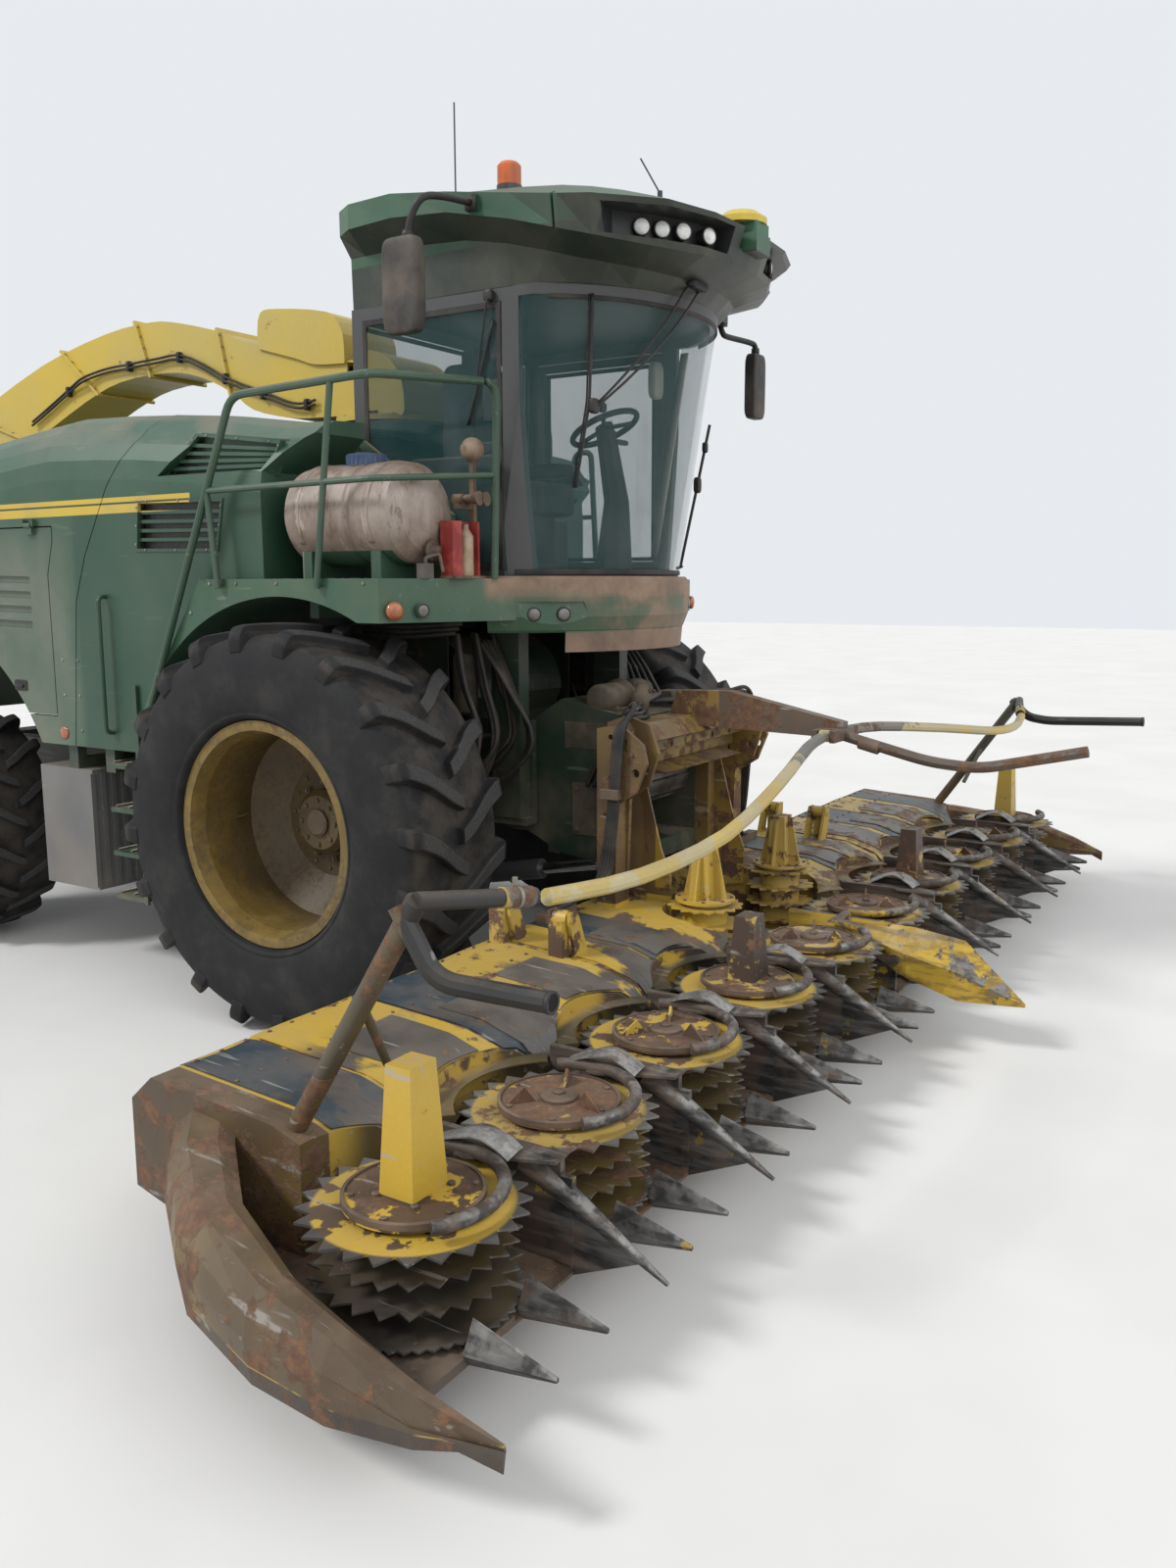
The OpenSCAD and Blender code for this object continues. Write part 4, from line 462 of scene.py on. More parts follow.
def worn(f, base, faded, rust, dust, gloss=0.42, zones=(), scratches=0.5, low=1.2):
    """Weathered paint: patchy colour, rust where noise is high, dust on upward faces and low down.
    zones are (mask, colour, faded, rust) entries painted over the base."""
    wide = f.noise(0.9, 3.0, 0.55)
    fine = f.noise(9.0, 8.0, 0.68)
    grain = f.noise(70.0, 3.0, 0.6)
    colour = f.mix(base, faded, wide.ramp(0.35, 0.68))
    amount = None
    for mask, paint, light, share in zones:
        colour = f.mix(colour, f.mix(paint, light, wide.ramp(0.35, 0.68)), mask)
        part = mask * (share - rust)
        amount = part if amount is None else amount + part
    patch = fine * 0.62 + wide * 0.38
    level = patch if amount is None else patch + amount * 0.30
    edge = 0.66 - 0.30 * rust
    rusty = level.ramp(edge, edge + 0.05)
    colour = f.tint(colour, grain * 0.18 + 0.91)
    rust_tone = f.mix(RUST_DARK, RUST_LIGHT, f.noise(24.0, 5.0, 0.7).ramp(0.35, 0.7))
    colour = f.mix(colour, rust_tone, rusty)
    marks = f.noise(38.0, 2.0, 0.5, (1.0, 0.08, 0.6)).ramp(0.66, 0.72) * scratches
    colour = f.mix(colour, BARE_STEEL, marks * (1.0 - rusty))
    settle = f.up.ramp(0.35, 0.95) * 0.75 + f.z.ramp(low, 0.1) * 0.55 + 0.12
    veil = (settle * f.noise(3.2, 7.0, 0.62).ramp(0.34, 0.66) * (2.0 * dust)).clamp()
    colour = f.mix(colour, DUST, veil * 0.85)
    rough = (rusty * 0.35 + veil * 0.35 + grain * 0.08 + gloss).clamp()
    return colour, rough, rusty * 0.6 + grain * 0.15 + veil * 0.15


# Heights of the body's yellow stripe and of the dark line in it, in metres, and how far the stripe
# rises for each metre back
STRIPE, LINE = (2.625, 2.705), (2.6695, 2.6805)
STRIPE_SLOPE = 0.004


def body_green():
    """Faded green sheet, the yellow stripe, and painted shade on the front and in the grilles."""
    f = Finish("body_green")
    c, r, b = worn(f, (0.017, 0.062, 0.034), (0.044, 0.092, 0.058), 0.02, 0.30, 0.36, scratches=0.10, low=1.9)
    film = f.noise(2.6, 6.0, 0.6).ramp(0.30, 0.66) * 0.35 + 0.22
    film = f.y.ramp(1.60, 1.80) * f.z.ramp(2.66, 2.40) * film
    c = f.mix(c, (0.150, 0.150, 0.115), film + f.z.ramp(2.85, 3.10) * f.noise(2.0, 5.0).ramp(0.4, 0.7) * 0.25)
    # Painted shade: the body ahead of the hood's seam and below the stripe, darkened
    c = f.mix(c, (0.009, 0.032, 0.019), f.y.ramp(1.66, 1.60) * f.z.ramp(2.74, 2.66) * 0.45)
    sweep = f.z + (f.y + AXLE_Y) * STRIPE_SLOPE
    band = sweep.ramp(STRIPE[0] - 0.003, STRIPE[0]) * sweep.ramp(STRIPE[1] + 0.003, STRIPE[1])
    line = sweep.ramp(LINE[0] - 0.0015, LINE[0] + 0.0015) * sweep.ramp(LINE[1] + 0.0015, LINE[1] - 0.0015)
    side = f.x.size().ramp(1.415, 1.42) * f.y.ramp(0.656, 0.666)
    yellow = f.mix((0.47, 0.33, 0.035), (0.36, 0.27, 0.08), f.noise(2.0).ramp(0.4, 0.7))
    c = f.mix(c, yellow, band * side)
    c = f.mix(c, (0.030, 0.045, 0.028), line * side)
    # Painted shade: the grilles' sunken floors behind the slats, near black with a fine grain
    behind = f.inside((None, 0.43, 2.425), (None, 1.085, 2.665)) * f.x.size().ramp(1.468, 1.462)
    upper = f.inside((None, 0.64, 2.80), (None, 0.99, 2.985)) * f.x.size().ramp(1.405, 1.399)
    behind = (behind + upper).clamp()
    mesh = f.mix((0.010, 0.010, 0.009), (0.050, 0.043, 0.034), f.noise(60.0, 5.0).ramp(0.4, 0.7))
    c = f.mix(c, mesh, behind)
    return f.done(c, r, b, 0.12, 0.003)


YELLOW, YELLOW_FADED = (0.44, 0.285, 0.030), (0.36, 0.25, 0.07)
BROWN, BROWN_PALE = (0.060, 0.034, 0.021), (0.115, 0.066, 0.040)
SOOT = (0.020, 0.018, 0.016)
BLUE, BLUE_PALE = (0.018, 0.034, 0.048), (0.050, 0.068, 0.080)


def from_rotor(f):
    """Distance from the nearest rotor's axis: the place along the header in rotor steps, less its whole
    part and a half, is the place across that rotor."""
    x = ((f.x * (1.0 / PITCH)).maths("FRACT") - 0.5) * PITCH
    y = f.y - ROTOR_Y
    return (x * x + y * y).maths("SQRT")


def deck_paint(name, zones):
    """The header's deck: yellow sheet scoured to brown steel in wide patches, with sooty scraper sheets
    round the rotors and mud on its floor."""
    f = Finish(name)
    out = from_rotor(f)
    patchy = f.noise(2.4, 6.0, 0.6)
    areas = [(patchy.ramp(0.50, 0.54), BROWN, BROWN_PALE, 0.55),
             (out.ramp(0.346, 0.350) * out.ramp(0.500, 0.470) * f.y.ramp(-1.93, -1.98), SOOT,
              (0.15, 0.105, 0.028), 0.34),
             (f.z.ramp(0.262, 0.255), (0.034, 0.025, 0.019), (0.075, 0.052, 0.034), 0.6)]
    areas += [(f.inside(low, high), paint, light, share) for low, high, paint, light, share in zones]
    c, r, b = worn(f, YELLOW, YELLOW_FADED, 0.46, 0.20, 0.44, areas, 0.5, 0.5)
    return f.done(c, r, b, 0.5, 0.006)


def rotor_paint():
    """Rotor paint: brown covers, yellow upper discs, sooty lower discs and bare dark teeth."""
    f = Finish("rotor_paint")
    out = from_rotor(f)
    side = f.x.size()
    tower = f.z.ramp(0.549, 0.552) * (side.ramp(0.90, 0.91) * side.ramp(1.40, 1.39) + side.ramp(3.10, 3.11))
    dark_tower = side.ramp(1.40, 1.39) * tower
    patchy = f.noise(5.0, 5.0, 0.6)
    cover = out.ramp(0.212, 0.206) * f.z.ramp(0.512, 0.520)
    areas = [(patchy.ramp(0.57, 0.60) * (1.0 - tower), BROWN, BROWN_PALE, 0.5),
             (f.z.ramp(0.47, 0.45), SOOT, (0.11, 0.078, 0.022), 0.36),
             (cover * (1.0 - tower), BROWN, BROWN_PALE, 0.52),
             (cover * f.z.ramp(0.500, 0.504) * f.noise(7.0, 5.0, 0.62).ramp(0.545, 0.575) * (1.0 - tower),
              YELLOW, YELLOW_FADED, 0.30),
             (out.ramp(0.286, 0.300), (0.036, 0.034, 0.032), (0.125, 0.120, 0.112), 0.30),
             (dark_tower * patchy.ramp(0.58, 0.54), SOOT, BROWN, 0.4)]
    c, r, b = worn(f, YELLOW, YELLOW_FADED, 0.36, 0.12, 0.42, areas, 0.6, 0.4)
    return f.done(c, r, b, 0.5, 0.006)


def guard_paint(name):
    """Guard bars: grey steel near the hinge, then cream and yellow paint with dark bare patches."""
    f = Finish(name)
    side = f.x.size()
    areas = [(side.ramp(0.92, 0.86), (0.090, 0.085, 0.070), (0.16, 0.15, 0.12), 0.45),
             (f.noise(2.8, 4.0).ramp(0.52, 0.55), (0.36, 0.30, 0.15), (0.42, 0.36, 0.20), 0.2)]
    c, r, b = worn(f, (0.42, 0.30, 0.060), (0.40, 0.31, 0.11), 0.2, 0.3, 0.4, areas, 0.4, 0.5)
    return f.done(c, r, b, 0.3, 0.003)


def cab_roof_green():
    """Roof green on top and sides, dark painted shade on what faces down, black painted shade by the lamps."""
    f = Finish("cab_roof_green")
    c, r, b = worn(f, (0.014, 0.058, 0.030), (0.035, 0.090, 0.048), 0.02, 0.30, 0.38, scratches=0.12, low=1.0)
    # Painted shade: faces that point down and the low band of the roof's sides, in dark greenish grey
    underside_shade = f.mix((0.020, 0.026, 0.019), (0.045, 0.048, 0.034), f.noise(3.0, 6.0).ramp(0.35, 0.65))
    c = f.mix(c, underside_shade, (f.up.ramp(-0.02, -0.25) + f.z.ramp(3.835, 3.80) * f.y.ramp(-1.15, -1.25)
                         + f.z.ramp(3.852, 3.846)).clamp())
    # Painted shade: the face under the brow round the roof's lamps, near black
    side = f.x.size()
    lamp_recess_shade = side.ramp(0.208, 0.214) * side.ramp(0.90, 0.88) * f.y.ramp(-1.415, -1.43)
    lamp_recess_shade = lamp_recess_shade * f.z.ramp(3.806, 3.810) * f.z.ramp(3.928, 3.924)
    c = f.mix(c, (0.014, 0.014, 0.015), lamp_recess_shade)
    return f.done(c, r, b, 0.12, 0.003)


def roof_fitting_colours():
    """Black plastic, the beacon's orange dome, and the receiver's yellow cap on its green block."""
    f = Finish("roof_fittings")
    fine = f.noise(80.0, 3.0)
    c = f.mix((0.012, 0.012, 0.013), (0.030, 0.029, 0.028), f.noise(6.0).ramp(0.3, 0.7))
    amber = f.mix((0.52, 0.105, 0.012), (0.36, 0.075, 0.014), f.noise(9.0).ramp(0.4, 0.65))
    c = f.mix(c, amber, f.inside((-0.78, -0.89, 4.1408), (-0.62, -0.73, None), 0.0006))
    c = f.mix(c, (0.020, 0.085, 0.040), f.inside((-0.09, -1.85, 3.90), (0.09, -1.62, 3.9846), 0.0004))
    cap = f.mix((0.50, 0.36, 0.030), (0.40, 0.30, 0.06), f.noise(7.0, 5.0).ramp(0.4, 0.65))
    c = f.mix(c, cap, f.inside((-0.14, -1.86, 3.9848), (0.14, -1.56, 4.07), 0.0004))
    c = f.mix(c, DUST, f.up.ramp(0.3, 0.9) * f.noise(5.0, 6.0).ramp(0.4, 0.7) * 0.45)
    return f.done(c, fine * 0.12 + 0.30, fine, 0.08, 0.001)


def fitting_colours():
    """Platform fittings: the red holder, the bottle caked in dust, brassy horns, brown elsewhere."""
    f = Finish("fitting_colours")
    tone = f.noise(9.0, 7.0, 0.65)
    fine = f.noise(70.0, 3.0)
    c = f.mix((0.070, 0.042, 0.028), (0.19, 0.115, 0.065), tone.ramp(0.34, 0.66))
    red = f.mix((0.20, 0.016, 0.014), (0.32, 0.050, 0.035), tone.ramp(0.4, 0.62))
    boxes = (((-1.20, -0.82, 2.286), (-1.113, None, 2.55)), ((-1.003, -0.82, 2.286), (-0.982, None, 2.55)),
             ((-1.125, -0.764, 2.5265), (-0.98, None, 2.55)))
    for low, high in boxes:
        c = f.mix(c, red, f.inside(low, high, 0.001))
    bottle = f.mix((0.20, 0.135, 0.080), (0.36, 0.27, 0.18), tone.ramp(0.35, 0.65))
    c = f.mix(c, bottle, f.inside((-1.096, -0.823, 2.284), (-1.018, -0.745, 2.5262), 0.001))
    c = f.mix(c, (0.22, 0.155, 0.105), f.z.ramp(2.824, 2.828) * tone.ramp(0.3, 0.55))
    c = f.mix(c, (0.055, 0.058, 0.052), f.inside((-1.335, -0.752, 2.26), (-1.20, -0.69, 2.40), 0.002) * 0.7)
    c = f.mix(c, DUST, f.up.ramp(0.3, 0.9) * f.noise(5.0, 6.0).ramp(0.35, 0.65) * 0.7)
    return f.done(c, tone * 0.2 + 0.5, fine * 0.6 + tone * 0.4, 0.3, 0.002)


def platform_green():
    """The platforms' green: brown dust caked on the nose, and the rusty flap under it."""
    f = Finish("platform_green")
    c, r, b = worn(f, (0.020, 0.068, 0.036), (0.050, 0.095, 0.056), 0.05, 0.44, 0.38, scratches=0.2, low=1.7)
    cloud = f.noise(4.2, 7.0, 0.62)
    nose = f.x.size().ramp(1.02, 0.96) * f.y.ramp(-0.72, -0.80)
    caked = (f.z.ramp(2.13, 2.235) + (cloud - 0.5) * 0.9).clamp() * nose
    ahead = f.y.ramp(-1.12, -1.24) * cloud.ramp(0.30, 0.62)
    cover = ((caked + nose * ahead * 0.75).clamp() * f.noise(17.0, 5.0).ramp(0.18, 0.45)).clamp()
    c = f.mix(c, f.mix((0.165, 0.105, 0.070), (0.235, 0.160, 0.110), cloud.ramp(0.35, 0.65)), cover)
    c = f.mix(c, f.mix((0.10, 0.062, 0.042), (0.21, 0.135, 0.092), cloud.ramp(0.3, 0.65)),
              f.z.ramp(2.000, 1.998) * nose)
    return f.done(c, (r + cover * 0.3).clamp(), b + cover * 0.4, 0.3, 0.004)


def knuckle_rust():
    """Steel that has lost its paint: brown rust with streaks and a little dust."""
    f = Finish("knuckle_rust")
    tone = f.noise(5.0, 8.0, 0.7)
    c = f.mix((0.077, 0.044, 0.0286), (0.22, 0.1265, 0.066), tone.ramp(0.32, 0.68))
    c = f.mix(c, DUST, (f.up.ramp(0.3, 0.9) * f.noise(4.0).ramp(0.35, 0.65)) * 0.55)
    c = f.mix(c, (0.33, 0.22, 0.03), f.noise(6.5, 5.0).ramp(0.63, 0.66) * 0.8)
    return f.done(c, tone * 0.25 + 0.62, f.noise(60.0, 4.0), 0.4, 0.003)


def worn_steel():
    """Points and spikes polished by the crop: bare streaked steel that is brown where nothing rubs."""
    f = Finish("worn_steel")
    streak = f.noise(30.0, 4.0, 0.6, (1.0, 0.12, 1.0))
    brown = (f.noise(7.0, 6.0, 0.65) + f.y.ramp(-2.75, -2.40) * 0.22).ramp(0.50, 0.66)
    c = f.mix((0.036, 0.034, 0.032), (0.135, 0.130, 0.122), streak.ramp(0.38, 0.68))
    polish = f.up.ramp(0.25, 0.75) * f.noise(16.0, 4.0).ramp(0.42, 0.58)
    c = f.mix(c, (0.34, 0.33, 0.31), polish * 0.55)
    c = f.mix(c, f.mix((0.045, 0.028, 0.019), (0.105, 0.062, 0.037), streak.ramp(0.4, 0.7)), brown * 0.8)
    c = f.mix(c, (0.30, 0.195, 0.03), f.noise(5.5, 6.0, 0.65).ramp(0.635, 0.655) * 0.8)
    painted = f.x.size().ramp(0.225, 0.205) * f.noise(4.2, 6.0, 0.62).ramp(0.56, 0.52) * f.up.ramp(0.80, 0.62)
    c = f.mix(c, f.mix(YELLOW, (0.20, 0.125, 0.025), streak.ramp(0.42, 0.62)), painted * 0.92)
    return f.done(c, brown * 0.3 + streak * 0.2 + 0.34, streak, 0.25, 0.002, metallic=(1.0 - brown) * 0.5)


def rubber(name, centre_y, centre_z, radius):
    """Black rubber: the lugs' tops worn to a gritty grey, with a little dust on the walls."""
    f = Finish(name)
    y = f.y - centre_y
    z = f.z - centre_z
    out = (y * y + z * z).maths("SQRT")
    cloud = f.noise(5.0, 7.0, 0.65)
    fine = f.noise(90.0, 3.0, 0.6)
    grit = f.noise(300.0, 2.0, 0.5)
    c = f.mix((0.007, 0.007, 0.008), (0.016, 0.016, 0.016), cloud.ramp(0.3, 0.7))
    c = f.mix(c, (0.060, 0.050, 0.040), cloud.ramp(0.48, 0.78) * (fine * 0.3 + 0.12))
    floor = out.ramp(radius - 0.030, radius - 0.042) * out.ramp(radius - 0.085, radius - 0.060)
    c = f.mix(c, (0.070, 0.056, 0.044), floor * cloud.ramp(0.35, 0.60) * 0.40)
    tops = out.ramp(radius - 0.012, radius - 0.004) * grit.ramp(0.36, 0.60)
    c = f.mix(c, (0.060, 0.058, 0.056), tops * 0.85)
    rings = (out * 75.0).maths("SINE") * out.ramp(radius - 0.10, radius - 0.13)
    return f.done(c, fine * 0.15 + cloud * 0.15 + 0.60, fine * 0.6 + rings * 0.2, 0.4, 0.002,
                  **{"Specular IOR Level": 0.28})


def rim_yellow():
    """Rim paint gone deep yellow-brown, dust caked in its dish, and painted shade darker towards the hub."""
    f = Finish("rim_yellow")
    cloud = f.noise(4.5, 8.0, 0.66)
    fine = f.noise(40.0, 4.0, 0.6)
    c = f.mix((0.105, 0.066, 0.013), (0.185, 0.120, 0.024), cloud.ramp(0.35, 0.65))
    caked = (f.noise(2.2, 6.0, 0.6) * 0.6 + fine * 0.4).ramp(0.44, 0.60)
    c = f.mix(c, (0.070, 0.046, 0.025), caked * 0.75)
    # Painted shade: the dish darkens from the outer flange in towards the hub
    c = f.mix(c, (0.034, 0.021, 0.011), f.x.size().ramp(1.62, 1.24) * 0.72)
    c = f.mix(c, RUST_DARK, f.noise(13.0, 6.0, 0.7).ramp(0.62, 0.68) * 0.8)
    return f.done(c, fine * 0.15 + caked * 0.2 + 0.48, fine * 0.5 + caked * 0.5, 0.3, 0.003)


def plain(name, dark, light, rough, dust, bump=0.15, metallic=0.0):
    """A hard surface with a fine grain, slow colour change and a veil of dust."""
    f = Finish(name)
    cloud = f.noise(6.0, 6.0, 0.6)
    fine = f.noise(90.0, 3.0, 0.6)
    c = f.mix(dark, light, cloud.ramp(0.3, 0.7))
    veil = (f.up.ramp(0.2, 0.9) * 0.6 + 0.25) * f.noise(3.7, 6.0, 0.62).ramp(0.4, 0.68) * (dust * 1.6)
    c = f.mix(c, DUST, veil.clamp())
    return f.done(c, fine * 0.12 + veil * 0.3 + rough, fine, bump, 0.001, metallic=metallic,
                  **{"Specular IOR Level": 0.5 if metallic else 0.32})


def cab_glass_finish():
    """Tinted glass with a thin film of dust that is thicker near its lower edge."""
    f = Finish("cab_glass_tint")
    film = f.noise(2.6, 6.0, 0.62).ramp(0.45, 0.80)
    streak = f.noise(5.0, 5.0, 0.6, (1.0, 1.0, 0.12)).ramp(0.55, 0.75)
    dirt = (film * (f.z.ramp(2.80, 2.30) * 0.35 + 0.10) + streak * 0.10).clamp()
    c = f.mix((0.030, 0.085, 0.085), (0.22, 0.22, 0.19), dirt)
    return f.done(c, dirt * 0.3 + 0.03, alpha=dirt * 0.5 + 0.24, **{"Specular IOR Level": 0.6})


def tank_plastic():
    """Dirty white plastic tank, brown where mud ran down its sides."""
    f = Finish("tank_skin")
    run = f.noise(7.0, 6.0, 0.6, (1.0, 1.0, 0.18))
    cloud = f.noise(3.4, 7.0, 0.65)
    c = f.mix((0.30, 0.255, 0.220), (0.185, 0.135, 0.104), (run * 0.5 + cloud * 0.5).ramp(0.38, 0.62))
    mud = (f.z.ramp(2.72, 2.36) + f.z.ramp(2.70, 2.80)) * cloud.ramp(0.3, 0.6)
    c = f.mix(c, (0.130, 0.082, 0.056), mud * 0.6)
    stains = f.noise(13.0, 8.0, 0.72, (1.0, 1.0, 0.35)).ramp(0.54, 0.62)
    c = f.mix(c, (0.105, 0.056, 0.034), stains * 0.65)
    c = f.mix(c, (0.46, 0.39, 0.33), f.noise(10.0, 6.0, 0.65, (1.0, 1.0, 0.25)).ramp(0.62, 0.68) * 0.5)
    c = f.mix(c, f.mix((0.020, 0.055, 0.13), (0.07, 0.10, 0.15), cloud.ramp(0.4, 0.6)),
              f.inside((-1.345, -0.435, 2.806), (-1.135, -0.225, None)))
    c = f.mix(c, (0.022, 0.058, 0.032), f.z.ramp(2.402, 2.398) * (f.y + 0.34).size().ramp(0.28, 0.27))
    return f.done(c, cloud * 0.2 + 0.45, cloud, 0.15, 0.004)


def steps_paint():
    """Green ladders, and the ribbed boxes behind them in pale grey under road dust."""
    f = Finish("steps_paint")
    boxes = f.x.size().ramp(0.985, 0.995) * f.y.ramp(1.630, 1.636)
    areas = [(boxes, (0.090, 0.092, 0.092), (0.150, 0.148, 0.140), 0.05)]
    c, r, b = worn(f, (0.016, 0.048, 0.027), (0.036, 0.066, 0.040), 0.10, 0.40, 0.42, areas, 0.2, 1.2)
    return f.done(c, r, b, 0.25, 0.003)


def seat_cloth():
    """Dark cloth with a fine weave and two sewn channels across each cushion."""
    f = Finish("seat_cloth")
    weave = (f.x * 900.0).maths("SINE") * (f.y * 900.0 + f.z * 900.0).maths("SINE")
    cloud = f.noise(6.0, 5.0)
    c = f.mix((0.018, 0.018, 0.020), (0.055, 0.052, 0.048), cloud.ramp(0.3, 0.7))
    c = f.mix(c, DUST, f.up.ramp(0.3, 0.9) * f.noise(3.0, 6.0).ramp(0.4, 0.7) * 0.35)
    seam = f.x.size().ramp(0.150, 0.156) * f.x.size().ramp(0.168, 0.162)
    c = f.mix(c, (0.010, 0.010, 0.010), seam * 0.8)
    return f.done(c, cloud * 0.1 + 0.85, weave * 0.3 - seam * 2.0, 0.4, 0.003)


def worn_sheet(name, paint, faded, rust):
    """A deck sheet: its paint scoured along the crop's way to dark steel, with brown edges and mud."""
    f = Finish(name)
    bare = f.noise(3.4, 5.0, 0.6, (1.0, 0.45, 1.0)).ramp(0.49, 0.55) * f.y.ramp(-1.40, -1.60)
    c, r, b = worn(f, paint, faded, rust, 0.16, 0.40,
                   [(bare, (0.050, 0.044, 0.040), (0.120, 0.110, 0.098), 0.45)], 0.6, 0.5)
    return f.done(c, r, b, 0.5, 0.005)


def bright_steel():
    """Steel rubbed bright by the crop, browned in its hollows."""
    f = Finish("bright_steel")
    cloud = f.noise(9.0, 7.0, 0.65)
    fine = f.noise(60.0, 3.0)
    c = f.mix((0.12, 0.114, 0.104), (0.30, 0.29, 0.275), (cloud * 0.7 + fine * 0.3).ramp(0.36, 0.62))
    c = f.mix(c, (0.11, 0.065, 0.040), cloud.ramp(0.56, 0.66) * 0.8)
    return f.done(c, cloud * 0.25 + 0.28, fine, 0.2, 0.002, metallic=f.noise(4.0).ramp(0.3, 0.5) * 0.5)


def lamp_glass(name, tone, rough=0.12):
    """A lamp's lens: ribbed glass; a clear lens's pale tone is a painted reflection of a bowl not built."""
    f = Finish(name)
    c = f.mix(tone, [v * 0.6 for v in tone], f.noise(12.0, 5.0).ramp(0.4, 0.7))
    ribs = (f.x * 420.0).maths("SINE") * 0.5 + (f.z * 420.0).maths("SINE") * 0.5
    return f.done(c, f.noise(20.0) * 0.15 + rough, ribs, 0.12, 0.001, **{"Coat Weight": 0.6})


# Hard finishes: their darkest and lightest tone, roughness, dust, bump and how metallic they are
PLAIN = {
    "black_paint": ((0.008, 0.008, 0.009), (0.019, 0.018, 0.017), 0.42, 0.14),
    "trim_black": ((0.009, 0.009, 0.010), (0.022, 0.021, 0.020), 0.42, 0.16),
    "hose_black": ((0.010, 0.010, 0.010), (0.028, 0.026, 0.024), 0.55, 0.28, 0.2),
    "pipe_inside": ((0.003, 0.003, 0.003), (0.006, 0.006, 0.006), 0.8, 0.02, 0.1),
    "seat_black": ((0.018, 0.018, 0.019), (0.040, 0.038, 0.036), 0.8, 0.35, 0.3),
    "cab_plastic": ((0.016, 0.016, 0.017), (0.040, 0.038, 0.036), 0.45, 0.3, 0.2),
    "cab_lining": ((0.40, 0.385, 0.33), (0.50, 0.485, 0.42), 0.6, 0.25, 0.1),
    "screen_dark": ((0.010, 0.012, 0.014), (0.018, 0.020, 0.024), 0.08, 0.15, 0.02),
    "mirror_shell": ((0.016, 0.016, 0.017), (0.050, 0.044, 0.038), 0.5, 0.6, 0.25),
    "mirror_pane": ((0.45, 0.47, 0.48), (0.55, 0.57, 0.58), 0.04, 0.12, 0.02, 1.0),
    "cap_blue": ((0.020, 0.055, 0.13), (0.06, 0.09, 0.15), 0.45, 0.5, 0.2),
    "engine_grey": ((0.10, 0.10, 0.095), (0.20, 0.19, 0.17), 0.6, 0.5, 0.3),
    "dusty_casting": ((0.026, 0.028, 0.020), (0.090, 0.068, 0.046), 0.65, 0.6, 0.35),
    "rod_steel": ((0.42, 0.42, 0.42), (0.55, 0.55, 0.54), 0.18, 0.05, 0.05, 1.0),
    "roller_steel": ((0.045, 0.042, 0.038), (0.13, 0.12, 0.11), 0.35, 0.5, 0.3, 0.5),
    "bolt_zinc": ((0.15, 0.14, 0.12), (0.30, 0.28, 0.24), 0.35, 0.35, 0.1, 0.7),
    "bolt_brown": ((0.060, 0.040, 0.028), (0.15, 0.10, 0.07), 0.55, 0.4, 0.2, 0.3),
    "hub_brown": ((0.050, 0.034, 0.022), (0.12, 0.082, 0.045), 0.55, 0.5, 0.3, 0.2),
}
# Weathered paints: base and faded tone, rust, dust, gloss, scratches, top of the mud, bump and its depth
PAINTED = {
    "frame_green": ((0.010, 0.027, 0.017), (0.027, 0.038, 0.024), 0.22, 0.40, 0.40, 0.2, 1.9, 0.22, 0.004),
    "rail_green": ((0.018, 0.050, 0.030), (0.035, 0.070, 0.042), 0.08, 0.3, 0.40, 0.2, 1.0, 0.22, 0.004),
    "spout_yellow": ((0.49, 0.345, 0.035), (0.42, 0.32, 0.075), 0.16, 0.24, 0.38, 0.25, 1.0, 0.25, 0.004),
    "drum_yellow": (YELLOW, YELLOW_FADED, 0.36, 0.16, 0.42, 0.55, 0.5, 0.45, 0.006),
}


def stock(name):
    """A finish from the tables, made when it is first asked for."""
    if name in bpy.data.materials:
        return bpy.data.materials[name]
    if name in PLAIN:
        return plain(name, *PLAIN[name])
    base, faded, rust, dust, gloss, scratches, low, strength, depth = PAINTED[name]
    f = Finish(name)
    c, r, b = worn(f, base, faded, rust, dust, gloss, (), scratches, low)
    return f.done(c, r, b, strength, depth)


def dress(finish, *nodes):
    """Gives a finish, or the name of one, to carried-over nodes of the frame."""
    finish = stock(finish) if isinstance(finish, str) else finish
    for name in nodes:
        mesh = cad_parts[name].data
        mesh.materials.clear()
        mesh.materials.append(finish)


# Settings that a user would change

class BodySettings(bpy.types.PropertyGroup):
    lamp_radius: bpy.props.FloatProperty(
        name="Lamp radius", description="Radius of a round work lamp", default=0.040, min=0.02, max=0.08,
        unit="LENGTH")
    hose_radius: bpy.props.FloatProperty(
        name="Hose radius", description="Radius of a hydraulic hose", default=0.012, min=0.006, max=0.02,
        unit="LENGTH")
    bolt_radius: bpy.props.FloatProperty(
        name="Bolt radius", description="Radius over the corners of a bolt's head", default=0.013, min=0.006,
        max=0.03, unit="LENGTH")


class StageSettings(bpy.types.PropertyGroup):
    floor_colour: bpy.props.FloatVectorProperty(
        name="Floor colour", description="Colour of the floor", default=(0.62, 0.61, 0.59), min=0, max=1,
        subtype="COLOR")
    sky_strength: bpy.props.FloatProperty(
        name="Sky strength", description="Brightness of the soft light from all sides", default=0.75,
        min=0, max=2)


# The photograph's camera: 28 mm on a frame 36 mm high; its place, and its yaw, pitch and roll
SENSOR, LENS = 36.0, 28.44
CAMERA_PLACE = Vector((-5.9017, -4.5075, 2.2445))
CAMERA_TURN = (1.01160195, -0.160389007, -0.00182)
